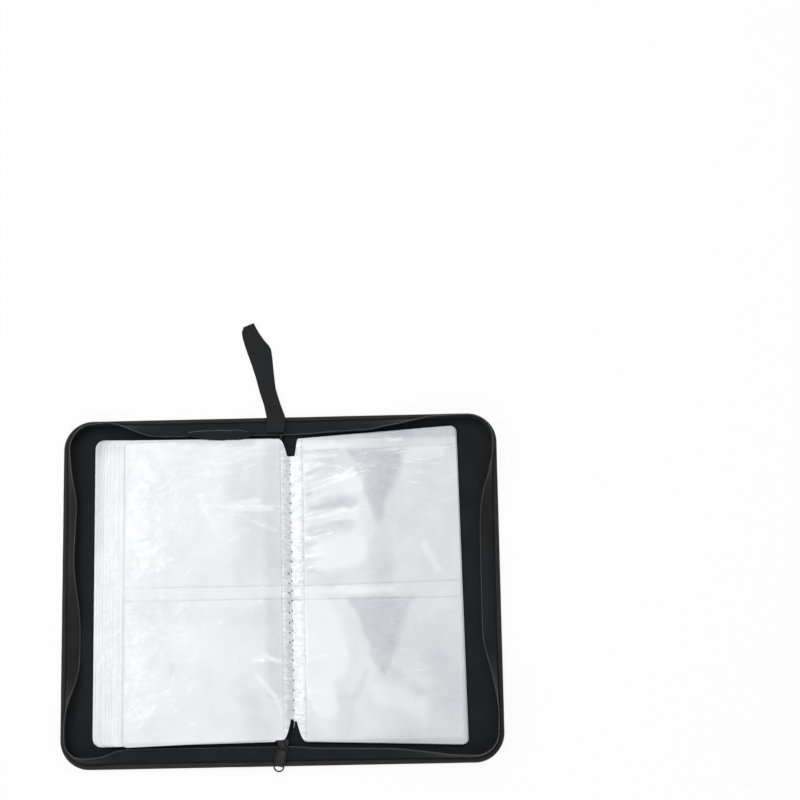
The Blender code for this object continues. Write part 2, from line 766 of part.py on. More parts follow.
def strap_stations():
    """Left edge, right edge and underside height along the strap, from its root to its fold."""
    lip = RIBBON_TOP + LAYER_GAP
    root = tape_height(STRAP_ROOT_INSET) + 2 * LAYER_GAP
    floor = LAYER_GAP
    half = STRAP_WIDTH / 2
    stations = []
    for y, z in ((-STRAP_ROOT_INSET, root), (-RIBBON_OVER, lip), (0.0, lip)):
        stations.append((STRAP_ROOT_X - half, y, STRAP_ROOT_X + half, y, z))
    for step in STRAP_STEPS:
        run = STRAP_REACH * step
        centre = STRAP_ROOT_X - run * math.tan(STRAP_SWING)
        spread = half + STRAP_FLARE * step
        tilt = spread * math.sin(STRAP_SWING)
        z = floor + (lip - floor) * (1 - smooth_step(run / STRAP_DROP))
        stations.append((centre - spread, run - tilt, centre + spread, run + tilt, z))
    left_x, left_y, right_x, right_y, _ = stations[-1]
    stations.append((left_x + STRAP_SHOULDER_LEFT[0], left_y + STRAP_SHOULDER_LEFT[1],
                     right_x + STRAP_SHOULDER_RIGHT[0], right_y + STRAP_SHOULDER_RIGHT[1], floor))
    stations.append((STRAP_TIP_X - STRAP_TIP_WIDTH, STRAP_REACH - STRAP_TIP_SLANT,
                     STRAP_TIP_X, STRAP_REACH, floor))
    return stations


def build_strap(parents):
    """The wrist strap: out from the spine's top end, folded over at its tip and back."""
    lower = strap_stations()
    rise = STRAP_THICKNESS + STRAP_LAYER_GAP
    rings = []
    for side in (0, 1):
        low, high = (rise, rise + STRAP_THICKNESS) if side else (0.0, STRAP_THICKNESS)
        for left_x, left_y, right_x, right_y, z in (lower[::-1] if side else lower):
            left = Vector((left_x, HALF_HEIGHT + left_y, z))
            right = Vector((right_x, HALF_HEIGHT + right_y, z))
            lift = [Vector((0.0, 0.0, value)) for value in (low, high)]
            if side:
                lift.reverse()
            rings.append([left + lift[0], right + lift[0], right + lift[1], left + lift[1]])
        if not side:
            tip = rings[-1]
            bulge = Vector((0.0, STRAP_THICKNESS, 0.0))
            middle = Vector((0.0, 0.0, STRAP_THICKNESS + STRAP_LAYER_GAP / 2 - low))
            base = Vector((0.0, 0.0, low))
            left, right = tip[0] - base, tip[1] - base
            rings.append([left + middle + bulge, right + middle + bulge,
                          right + middle, left + middle])
    add_piece("wrist_strap", loft(rings), "webbing", "spine", parents)


def main():
    clear_scene()
    parents = make_bodies()
    build_cover("front", -1, parents)
    build_cover("back", 1, parents)
    build_spine(parents)
    build_zipper_ends(parents)
    slider_frame, slider_top = build_slider(parents)
    build_stop(parents)
    build_pull(slider_frame, slider_top, parents)
    build_sheets(parents)
    build_strap(parents)


main()
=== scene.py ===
"""Looks of the zippered disc wallet: its covers, ribbon, zipper, sleeves and strap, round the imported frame."""

import math

import bmesh
import bpy
from mathutils import Matrix, Vector, noise


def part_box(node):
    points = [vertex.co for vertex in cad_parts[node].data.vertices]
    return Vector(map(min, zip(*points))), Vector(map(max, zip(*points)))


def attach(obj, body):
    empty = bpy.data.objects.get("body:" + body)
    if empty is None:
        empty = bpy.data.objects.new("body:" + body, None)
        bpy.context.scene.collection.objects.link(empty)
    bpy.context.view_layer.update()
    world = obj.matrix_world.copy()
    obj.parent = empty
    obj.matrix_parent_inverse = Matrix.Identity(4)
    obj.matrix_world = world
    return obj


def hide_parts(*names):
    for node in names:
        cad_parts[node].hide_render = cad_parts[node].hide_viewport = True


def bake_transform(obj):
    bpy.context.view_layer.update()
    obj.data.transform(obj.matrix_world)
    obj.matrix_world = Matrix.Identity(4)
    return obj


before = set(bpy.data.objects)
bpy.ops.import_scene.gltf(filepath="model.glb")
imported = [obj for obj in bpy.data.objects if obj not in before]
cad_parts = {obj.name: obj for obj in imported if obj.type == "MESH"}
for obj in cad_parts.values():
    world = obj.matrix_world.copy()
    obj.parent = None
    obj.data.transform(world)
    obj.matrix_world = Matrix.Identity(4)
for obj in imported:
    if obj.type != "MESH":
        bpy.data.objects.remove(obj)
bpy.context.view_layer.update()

bl_info = {
    "name": "Zippered disc wallet",
    "version": (1, 0, 0),
    "blender": (4, 5, 0),
    "location": "View3D > Sidebar > Disc wallet",
    "description": "Makes the covers, binding, zipper, sleeves and strap of an open disc wallet",
    "category": "Object",
}

MM = 0.001

# Places taken from the frame
COVER_LOW, COVER_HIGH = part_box("front_cover_binding")
REACH = -COVER_LOW[0]
HALF_HEIGHT = COVER_HIGH[1]
RIBBON_TOP = COVER_HIGH[2]
SKIN_LOW, SKIN_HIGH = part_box("back_cover_skin")
SKIN_SHORT = 1.0 * MM  # how far a cover's skin falls short of the cover's width
HALF_SPINE = REACH - (SKIN_HIGH[0] - SKIN_LOW[0]) - SKIN_SHORT
LINING_LOW, LINING_TOP = [corner[2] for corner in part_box("front_cover_lining")]
BOARD_LOW, BOARD_TOP = [corner[2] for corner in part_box("front_cover_board")]
BOARD_MIDDLE = (BOARD_LOW + BOARD_TOP) / 2
TAPE_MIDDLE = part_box("front_zipper_tape")[0][2] + 0.25 * MM
SLIDER_LOW, SLIDER_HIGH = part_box("zipper_slider")
LEFT_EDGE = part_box("sleeve_sheet_5_left")[0][0]
RIGHT_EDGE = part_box("sleeve_sheet_5_right")[1][0]
LEAF_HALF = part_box("sleeve_sheet_5_left")[1][1]
SLIDER_X = (SLIDER_LOW[0] + SLIDER_HIGH[0]) / 2

# Where the fabric turns at each fold, for the top leaf too, and how far out cloth is drawn finer for it
BEND_END = 27 * MM
FINE_END = BEND_END + 3 * MM

# How far each layer of a cover stops short of its edge, and the stiffeners short of the folds
SKIN_INSET, LINING_INSET, BOARD_INSET = 0.8 * MM, 1.6 * MM, 3.2 * MM
BOARD_GAP = 7 * MM
# The leatherette: its level, its step up under the ribbon and the padding inside that step
SKIN_LEVEL, STEP_RISE, SKIN_CROWN = 0.85 * MM, 0.55 * MM, 0.25 * MM
STEP_START, STEP_RUN = 11.6 * MM, 2.6 * MM
CROWN_START, CROWN_RUN = 12 * MM, 20 * MM
STEP_MARGINS = [margin * MM for margin in (11, 11.8, 12.4, 13, 13.6, 14.4, 15.5)]

# Zipper: how far the wall leans in, in degrees, at places along the cover's three sides
LEAN_FRONT = {
    "bottom": ((0, 80), (110, 78), (127, 72), (137, 52), (145, 31), (155, 22), (166, 20)),
    "outer": ((-131, 8), (-117, 4), (-107, 6), (-96, 14), (-84, 32), (-73, 54), (-60, 76), (-45, 83),
              (-30, 80), (-15, 66), (2, 47), (16, 38), (30, 35), (57, 40), (71, 43), (82, 38), (95, 26),
              (109, 18), (122, 14)),
    "top": ((0, 78), (60, 72), (94, 69), (109, 62), (117, 46), (125, 29), (136, 9), (145, -1), (160, 4)),
}
LEAN_BACK = {
    "bottom": ((0, 80), (8, 72), (25, 54), (51, 47), (77, 42), (90, 40), (103, 34), (116, 25), (129, 17),
               (139, 10), (157, 6)),
    "outer": ((-122, 3), (-110, 1), (-101, 3), (-92, 8), (-83, 16), (-73, 26), (-64, 38), (-54, 54),
              (-42, 74), (-28, 82), (-8, 82), (20, 80), (40, 77), (55, 69), (69, 53), (80, 38), (90, 21),
              (101, 8), (110, -1), (122, -5)),
    "top": ((0, 78), (23, 72), (38, 61), (60, 54), (77, 49), (88, 37), (99, 28), (110, 18), (122, 7),
            (130, 1), (141, -1), (160, -3)),
}
# The tape's sewn foot and its wall: where each starts, in from the cover's edge, and the wall's height
FOOT_START = 1.2 * MM
WALL_INSET = 4.5 * MM
WALL_ROOT = WALL_INSET - 0.2 * MM
TAPE_WALL = 12.2 * MM

# Sleeve sheets
SHEET_PITCH = 5.6 * MM
SHEET_COUNT = 6
OPEN_AT = 5
FLANGE = 8.5 * MM
# At the opening the film is welded nearer the stitches on the left, and the stitches drift to the right
OPEN_FLANGE = {-1: 7.7 * MM, 1: 10.8 * MM}
SEW_DRIFT = (0.2 * MM, 1.95 * MM)
LEAF_CORNER = 5 * MM
LOW_CORNER = 8 * MM  # on the left's lowest leaves
POCKET_PUFF = 0.9 * MM
OVERLAP = 0.4 * MM
LEAF_PITCH = 1.0 * MM
# How far each lower leaf's edge stands out past the top leaf's, lowest first
STACK_LEFT = [step * MM for step in (25.6, 23.2, 20.6, 17.8, 14.4, 11.6, 8.6, 3.6)]
STACK_RIGHT = [step * MM for step in (0.9, 0.4)]
LEAF_BASE = 4.55 * MM
FOLD_PITCH = 0.8 * MM
NOTCH_TOP = 14.6 * MM
NOTCH_BOTTOM = 16.8 * MM
# Where the notches start and are deepest, as distances from the sewing line: bottom and top
NOTCH_ENDS = {-1: ((9.2, 2.4), (9.8, 2.4)), 1: ((11.0, 2.6), (7.6, 4.4))}
NOTCH_CURVE = 2.4
FLARE_RIGHT = (5.2 * MM, 9.0 * MM)
TILT_RIGHT = 4.0 * MM
# The welds across a leaf: height at the sewing line and rise over the leaf's width, in mm
LEFT_SEAMS = ((-9.2, 0), (1.9, 0))
RIGHT_SEAMS = ((-9.6, -0.3), (1.9, 2.1), (116.0, 4.5))
THREAD_RADIUS, THREAD_LENGTH = 0.24 * MM, 8 * MM

# Folds in the film: place along the spine, rise over the reach, reach, half width and height, in mm
FOLDS_RIGHT = (
    (87, 12, 44, 5.0, 2.0), (64, 7, 46, 4.0, 1.9), (47, 7, 40, 5.0, 1.5), (110, -1, 16, 1.7, 0.8),
    (104, 3, 20, 2.2, 0.9), (97, 4, 16, 1.5, 0.7), (77, 5, 18, 1.5, 0.6), (58, 4, 18, 1.6, 0.7),
    (31, 3, 20, 2.2, 0.8), (21, 2, 14, 1.6, 0.6), (-18, -1, 14, 1.8, 0.5), (-58, 2, 18, 1.8, 0.5),
    (-84, -4, 20, 2.4, 0.6), (116, 1, 30, 1.8, 0.7),
)
FOLDS_LEFT = (
    (74, -1.5, 38, 1.5, 1.1), (-57, -3, 24, 1.4, 1.1), (-74, 26, 30, 1.8, 0.9), (82, 4, 9, 1.2, 0.5),
    (-30, 2, 12, 1.6, 0.4), (30, 2, 12, 1.5, 0.3), (-98, 18, 52, 3.0, 0.8), (50, 24, 60, 4.0, 0.8),
)
# Where the right leaf's film clings to its backing: height, left and right bounds, in mm
CLING_UPPER = ((63, 80, 86), (72, 76, 88), (82, 72, 91), (93, 68, 95), (103, 63, 99), (114, 60, 103),
               (123, 55, 105))
CLING_LOWER = ((-69, 84, 89), (-54, 76, 94), (-43, 73, 98), (-22, 66, 104), (-12, 61, 107), (-3, 55, 112))
# Soft marks, greyer or paler: painted shade and painted highlights on the film's folds and creases, partly where
# it lies close (greyer) or stands off (paler); two ends, two half widths, amount
TONE_AND_PAINTED_LIGHT_MARKS_RIGHT = (
    (25, 74, 59, 79, 1.6, 4.4, 0.34), (25, 53, 56, 60, 2.8, 5.2, 0.32), (21, 103, 32, 107, 1.2, 1.0, 0.3),
    (21, 86, 32, 88, 1.2, 1.0, 0.32), (21, 43, 30, 44, 1.8, 1.2, 0.28), (38, 116, 54, 114, 7.8, 7.8, 0.16),
    (82, 58, 85, 12, 9, 8, 0.12), (30, 88, 60, 97, 4, 8, -0.45), (25, 64, 60, 70, 2, 3.8, -0.5),
    (38, 34, 57, 38, 12, 12, -0.4), (121, 43, 132, 22, 2.6, 2.6, -0.2), (105, 118, 135, 124, 5, 5, -0.16),
    (89, 133.6, 95, 132.4, 1.6, 0.8, -0.3), (92, 132, 101, 133.6, 0.7, 1.5, -0.3),
    (29, -16, 38, -54, 12, 16, -0.5), (29, -69, 38, -96, 11, 8, -0.45), (85, -85, 116, -96, 8, 8, -0.22),
    (72, -67, 63, -88, 2.4, 3.6, 0.18), (122, -56, 142, -80, 14, 14, 0.1),
    (54, -90, 54, -117, 6.5, 6.5, 0.14), (98, -69, 116, -84, 5, 5, 0.14), (22, 3.6, 92, 4.6, 3, 2.2, -0.3),
    (22, 127, 55, 128, 2.2, 1.4, -0.35), (22, 30, 40, 29, 1.2, 0.8, 0.2), (24, 20, 36, 19, 1.2, 0.8, 0.2),
)
TONE_AND_PAINTED_LIGHT_MARKS_LEFT = (
    # Painted shade down the gutter, where the leaf curves down, then two broad greyer patches
    (-6, 119, -6, 16, 7.8, 7.8, 0.24), (-31, 112, -33, 84, 12, 12, 0.14), (-27, 62, -29, 16, 9, 9, 0.14),
    # Painted highlights on the film's creases
    (-43, 72, -8, 73, 0.9, 1.7, -0.9), (-40, 76, -20, 79, 1.8, 2.3, -0.35), (-67, 84, -54, 53, 1.8, 1.3, -0.35),
    (-22, -56, -10, -54, 1.4, 1.4, -0.9), (-10, -54, -1, -58, 1.3, 1.2, -0.9), (-21, -69, -6, -86, 1.3, 1.3, -0.6),
    (-6, -86, 1, -102, 1.2, 1.1, -0.7), (-105, -34, -93, -40, 1.1, 1.1, -0.5),
    (-74, -76, -77, -84, 1.6, 1.6, -0.4),
    # Broad greyer patches
    (-36, -81, -24, -90, 7, 8, 0.1), (-26, -94, -17, -118, 8, 10, 0.15), (-109, -15, -74, -18, 8, 8, 0.12),
    # Painted shadow under the tape along the leaf's top, and painted shade down the gutter
    (-84, 133, -26, 131, 4, 5, 0.36), (-124, 132, -90, 133, 2, 3, 0.2), (-6, -8, -4, -84, 6, 6, 0.24),
    (-42, -19, -10, -18, 7, 7, 0.1), (-90, -60, -92, -70, 1.4, 1.4, 0.16),
)

# Wrist strap: its left and right edges past the case's top edge, and its height, in mm
STRAP_ROWS = (
    (-11, -14.5, 5, -14.5, 8.4), (-11, -3.4, 5.2, -3.4, 6.2), (-11.2, 0, 5.2, 0, 5.9), (-13.6, 11, 0.9, 12, 3.0),
    (-17.2, 22, -3.2, 26, 0.5), (-20.8, 36, -4.7, 40, 0.35), (-24.3, 47, -5.6, 51, 0.35),
    (-28, 57.5, -6.7, 60.5, 0.35), (-30.4, 65, -8.6, 63.6, 0.35), (-32, 71, -12.4, 68, 0.35),
    (-32.6, 76, -17, 74.6, 0.35), (-30.9, 79.8, -21.7, 83.4, 0.4),
)
STRAP_WIDTH, STRAP_CLOTH = 17 * MM, 0.9 * MM
STRAP_GAP = 1.45 * MM  # between the loop's two layers

# The slack end of the front tape: its left end, its length, and the width that it was cut to
TAPE_FOLD_PLACE = (-80 * MM, 133.6 * MM, 11.9 * MM)
TAPE_FOLD_LENGTH, TAPE_FOLD_WIDTH = 56 * MM, 15.5 * MM

# Stage, in metres and watts. A softbox has a place, a width and height, and a power
CAMERA_PLACE = Vector((0.141, -0.2178, 1.828))
CAMERA_VIEW = Vector((-0.0202, 0.2029, -0.979))
CAMERA_UP = Vector((0.0228, 0.979, 0.2024))
CAMERA_LENS = 97.9
SOFTBOXES = (
    ("key_softbox", (-0.75, 0.25, 1.5), (0.7, 0.7), 6.0),
    ("strip_softbox", (-0.1, 0.8, 1.45), (1.5, 0.14), 6.0),
    ("fill_softbox", (0.2, -1.3, 1.5), (1.2, 0.6), 4.5),
)


def linear(code):
    """A linear colour from an sRGB hex code."""
    channels = [int(code[place:place + 2], 16) / 255 for place in (1, 3, 5)]
    return [c / 12.92 if c <= 0.04045 else ((c + 0.055) / 1.055) ** 2.4 for c in channels]


def colour_property(name, code, description):
    """A colour that the user can change, with its sRGB default."""
    return bpy.props.FloatVectorProperty(
        name=name, description=description, subtype="COLOR", size=3, min=0, max=1,
        default=linear(code))


def length_property(name, default, description):
    """A length that the user can change, in metres."""
    return bpy.props.FloatProperty(
        name=name, description=description, default=default, min=0, unit="LENGTH", precision=5)


class WalletSizes(bpy.types.PropertyGroup):
    """Sizes of the wallet's cloth, stitches and teeth."""

    corner_radius: length_property("Corner radius", 25 * MM, "Radius of the covers' outer corners")
    ribbon_under: length_property("Ribbon outside", 12 * MM, "Width of the binding on the outside")
    ribbon_over: length_property("Ribbon inside", 3.4 * MM, "Width of the binding on the inside")
    cloth: length_property("Cloth", 0.45 * MM, "Thickness of ribbon and zipper tape")
    tooth_pitch: length_property("Tooth pitch", 1.8 * MM, "Distance between zipper teeth")
    stitch_pitch: length_property("Stitch pitch", 3.2 * MM, "Distance between the binding's stitches")
    hole_pitch: length_property("Sewing pitch", 8.6 * MM, "Distance between the sleeves' stitches")
    sleeve: length_property("Sleeve", 0.42 * MM, "Thickness of a sleeve leaf")


class WalletColours(bpy.types.PropertyGroup):
    """Colours of the wallet's finishes."""

    leather: colour_property("Leatherette", "#26292e", "Outside of the covers")
    ribbon: colour_property("Binding ribbon", "#2a2827", "Ribbon round the edges")
    lining: colour_property("Lining", "#151719", "Woven cloth inside")
    tape: colour_property("Zipper tape", "#141618", "Zipper tape")
    teeth: colour_property("Zipper teeth", "#34373a", "Nylon coil")
    metal: colour_property("Black metal", "#0b0b0c", "Slider and pull")
    sleeve: colour_property("Sleeve", "#f5f6f8", "Non-woven sleeve under clear film")
    # The grey where the film clings, which the painted shade on the sleeves also mixes towards
    sleeve_shade: colour_property("Sleeve shade", "#bdc1c8", "Sleeve where the film clings")
    webbing: colour_property("Strap", "#191b1e", "Wrist strap")
    board: colour_property("Board", "#77705f", "Stiffener board")


def spread(start, stop, step):
    """Even distances from start to stop, no further apart than step."""
    count = max(1, math.ceil(abs(stop - start) / step - 1e-6))
    return [start + (stop - start) * index / count for index in range(count + 1)]


def joined(*runs):
    """One rising list from runs that meet."""
    values = sorted(value for run in runs for value in run)
    kept = [values[0]]
    for value in values[1:]:
        if value - kept[-1] > 0.02 * MM:
            kept.append(value)
    return kept


def ease(value):
    """Ease from 0 to 1."""
    value = min(max(value, 0.0), 1.0)
    return value * value * (3 - 2 * value)


def between(table, place):
    """The value at a place on a smooth curve through a table's rows."""
    if place <= table[0][0]:
        return table[0][1]
    for index in range(1, len(table)):
        low, first = table[index - 1]
        high, second = table[index]
        if place <= high:
            before, after = table[max(index - 2, 0)], table[min(index + 1, len(table) - 1)]
            width = high - low
            leave = (second - before[1]) / (high - before[0]) * width
            arrive = (after[1] - first) / (after[0] - low) * width
            t = (place - low) / width
            return (first * (2 * t ** 3 - 3 * t ** 2 + 1) + leave * (t ** 3 - 2 * t ** 2 + t)
                    + second * (3 * t ** 2 - 2 * t ** 3) + arrive * (t ** 3 - t ** 2))
    return table[-1][1]


def ripple(x, y, scale, seed=0.0):
    """Smooth noise from -1 to 1 with lumps of about the given size."""
    return noise.noise(Vector((x / scale, y / scale, seed)))


def plan_place(x, y):
    """Where a point of the open leaves shows on the flat plan on which their folds and marks were placed."""
    x, y = x / MM, y / MM
    plan_x = x - 0.4 - 0.0075 * y - 0.00011 * x * y
    plan_y = y * 1.0175 + 5.2 + 0.021 * x - 0.000153 * y * y
    return plan_x * MM, plan_y * MM


def draw_sheet(across, along, place, marks=None):
    """A sheet as a grid over two lists of distances, each point put by place. Its UV map holds the distances."""
    mesh = bmesh.new()
    layer = mesh.loops.layers.uv.new("cloth")
    layers = {name: mesh.verts.layers.float.new(name) for name in (marks or {})}
    bmesh.ops.create_grid(mesh, x_segments=len(across) - 1, y_segments=len(along) - 1, size=0.5)
    spots = {}
    for vert in mesh.verts:
        column = round((vert.co.x + 0.5) * (len(across) - 1))
        row = round((vert.co.y + 0.5) * (len(along) - 1))
        spots[vert] = (across[column], along[row])
    for face in mesh.faces:
        for loop in face.loops:
            loop[layer].uv = spots[loop.vert]
    for vert, (a, b) in spots.items():
        vert.co = place(a, b)
        for name, mark in (marks or {}).items():
            vert[layers[name]] = mark(vert.co.x, vert.co.y)
    return mesh


def scale_map(mesh, across=1.0, along=1.0):
    """Make lengths of the cloth map's distances, where they are shares or angles."""
    layer = mesh.loops.layers.uv["cloth"]
    for face in mesh.faces:
        for loop in face.loops:
            loop[layer].uv.x *= across
            loop[layer].uv.y *= along


def draw_tube(sides, runs, place, closed=True):
    """A tube, each point put by place from an angle round it and a distance along it."""
    mesh = draw_sheet([2 * math.pi * index / sides for index in range(sides + 1)], runs, place)
    bmesh.ops.remove_doubles(mesh, verts=mesh.verts, dist=0.01 * MM)
    if closed:
        bmesh.ops.holes_fill(mesh, edges=[edge for edge in mesh.edges if edge.is_boundary])
    return mesh


def absorb(mesh, part):
    """Add a bmesh to another, and free it."""
    data = bpy.data.meshes.new("part")
    part.to_mesh(data)
    part.free()
    mesh.from_mesh(data)
    bpy.data.meshes.remove(data)


def add_beads(mesh, places, around, along):
    """Add a small round bead at each place, in batches, because that is quicker."""
    batch_size = 40
    for first in range(0, len(places), batch_size):
        batch = bmesh.new()
        for place in places[first:first + batch_size]:
            bmesh.ops.create_uvsphere(batch, u_segments=around, v_segments=along, radius=1, matrix=place)
        absorb(mesh, batch)


def axes(x_axis, y_axis, z_axis):
    """The turn that has these three axes."""
    return Matrix((x_axis, y_axis, z_axis)).transposed().to_4x4()


def add_coil(mesh, turns, radius, tooth):
    """Add coil teeth on a cord. A turn is (spot, ahead, inward, off); tooth is a tooth's half sizes."""
    size = Matrix.Diagonal((*tooth, 1))
    add_beads(mesh, [Matrix.Translation(turn[0]) @ axes(*turn[1:]) @ size for turn in turns], 8, 5)

    def place(angle, step):
        spot, _, inward, off = turns[round(step)]
        return spot + (inward * math.cos(angle) + off * math.sin(angle)) * radius

    absorb(mesh, draw_tube(6, [float(step) for step in range(len(turns))], place, closed=False))


def link_mesh(name, mesh, material):
    """A new object from a bmesh."""
    data = bpy.data.meshes.new(name)
    mesh.to_mesh(data)
    mesh.free()
    data.materials.append(material)
    piece = bpy.data.objects.new(name, data)
    bpy.context.collection.objects.link(piece)
    return piece


def finish_piece(name, mesh, material, thickness=0.0, levels=0, sharp=60):
    """A finished object from a bmesh, with its wall thickness and smoothing as modifiers."""
    bmesh.ops.recalc_face_normals(mesh, faces=mesh.faces)
    piece = link_mesh(name, mesh, material)
    piece.data.shade_smooth()
    piece.data.set_sharp_from_angle(angle=math.radians(sharp))
    if levels:
        smooth = piece.modifiers.new("smooth", "SUBSURF")
        smooth.levels = levels
        smooth.render_levels = levels
    if thickness:
        wall = piece.modifiers.new("thickness", "SOLIDIFY")
        wall.thickness = thickness
        wall.offset = 0.0
    return piece


def bend_with(piece, side):
    """Bake the piece's place into its mesh."""
    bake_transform(piece)


def add_node(tree, kind, inputs=(), out=None, **properties):
    """Add a node. inputs maps an input to a value or to the socket that feeds it. Returns an output socket."""
    made = tree.nodes.new("ShaderNode" + kind)
    for name, value in properties.items():
        setattr(made, name, value)
    for name, value in dict(inputs).items():
        if isinstance(value, bpy.types.NodeSocket):
            tree.links.new(value, made.inputs[name])
        else:
            made.inputs[name].default_value = value
    return made.outputs[out] if out else next(socket for socket in made.outputs if socket.enabled)


def feed(shader, sockets):
    """Link a socket to each named input of the shader."""
    for name, socket in sockets.items():
        shader.id_data.links.new(socket, shader.inputs[name])


def new_material(name, base, inputs):
    """A material with its nodes and its Principled shader. One made before comes back without them."""
    material = bpy.data.materials.get(name)
    if material:
        return material, None, None
    material = bpy.data.materials.new(name)
    material.use_nodes = True
    shader = material.node_tree.nodes["Principled BSDF"]
    shader.inputs["Base Color"].default_value = (*base, 1)
    for key, value in inputs.items():
        shader.inputs[key].default_value = value
    return material, material.node_tree, shader


def shade(base, factor):
    """A colour made darker or lighter by a factor."""
    return (*[min(1.0, channel * factor) for channel in base], 1)


def wave_scale(pitch):
    """The Wave texture's scale for bands that repeat at a pitch."""
    return 2 * math.pi / 20 / pitch


def leatherette(colours):
    """Leatherette: PVC-coated cloth embossed with a fine pebble grain, with a satin sheen in the tops."""
    grain_size, patch_size = 0.9 * MM, 30 * MM
    base = colours.leather
    material, tree, shader = new_material("leatherette", base, {"Specular IOR Level": 0.5, "IOR": 1.5})
    if not tree:
        return material
    place = add_node(tree, "TexCoord", out="Object")
    grain = add_node(tree, "TexVoronoi", {"Scale": 1 / grain_size, "Smoothness": 0.6, "Vector": place},
                     feature="SMOOTH_F1")
    patch = add_node(tree, "TexNoise", {"Scale": 1 / patch_size, "Detail": 4, "Vector": place})
    feed(shader, {
        "Base Color": add_node(tree, "Mix", {"A": shade(base, 0.8), "B": shade(base, 1.2), "Factor": patch},
                               data_type="RGBA"),
        "Roughness": add_node(tree, "MapRange", {"To Min": 0.34, "To Max": 0.5, "Value": patch}),
        "Normal": add_node(tree, "Bump", {"Strength": 0.35, "Distance": 0.12 * MM, "Height": grain}),
    })
    return material


def woven(name, base, pitch, depth, roughness, sheen, skew=0.0):
    """Woven nylon or polyester: threads crossing at a pitch, drawn coarser than life so that they show."""
    patch_size = 22 * MM
    material, tree, shader = new_material(
        name, base, {"Roughness": roughness, "Sheen Weight": sheen, "Sheen Roughness": 0.5,
                     "Specular IOR Level": 0.15})
    if not tree:
        return material
    place = add_node(tree, "UVMap", uv_map="cloth")
    turned = add_node(tree, "Mapping", {"Rotation": (0, 0, skew), "Vector": place})
    threads = [add_node(tree, "TexWave", {"Scale": wave_scale(pitch), "Distortion": 0.4, "Detail": 1,
                                          "Detail Scale": 2, "Vector": turned},
                        out="Fac", bands_direction=direction) for direction in ("X", "Y")]
    weave = add_node(tree, "Math", {0: threads[0], 1: threads[1]}, operation="MULTIPLY")
    patch = add_node(tree, "TexNoise", {"Scale": 1 / patch_size, "Detail": 5, "Vector": place})
    blend = add_node(tree, "Math", {0: weave, 1: 0.55, 2: patch}, operation="MULTIPLY_ADD")
    feed(shader, {
        "Base Color": add_node(tree, "Mix", {"A": shade(base, 0.45), "B": shade(base, 2.1), "Factor": blend},
                               data_type="RGBA"),
        "Normal": add_node(tree, "Bump", {"Strength": 0.6, "Distance": depth, "Height": weave}),
    })
    return material


def grosgrain(name, base, pitch):
    """Polyester grosgrain: ribs across the ribbon, each with a thin line of painted highlight in its colour."""
    patch_size = 15 * MM
    material, tree, shader = new_material(
        name, base, {"Roughness": 0.7, "Sheen Weight": 0.04, "Specular IOR Level": 0.22})
    if not tree:
        return material
    place = add_node(tree, "UVMap", uv_map="cloth")
    ribs = add_node(tree, "TexWave", {"Scale": wave_scale(pitch), "Distortion": 0.5, "Detail": 1,
                                      "Detail Scale": 3, "Vector": place}, out="Fac", bands_direction="Y")
    patch = add_node(tree, "TexNoise", {"Scale": 1 / patch_size, "Detail": 4, "Vector": place})
    blend = add_node(tree, "Math", {0: ribs, 1: patch}, operation="MULTIPLY")
    feed(shader, {
        "Base Color": add_node(tree, "Mix", {"A": shade(base, 0.5), "B": shade(base, 2.6), "Factor": blend},
                               data_type="RGBA"),
        "Normal": add_node(tree, "Bump", {"Strength": 0.8, "Distance": 0.25 * MM, "Height": ribs}),
    })
    return material


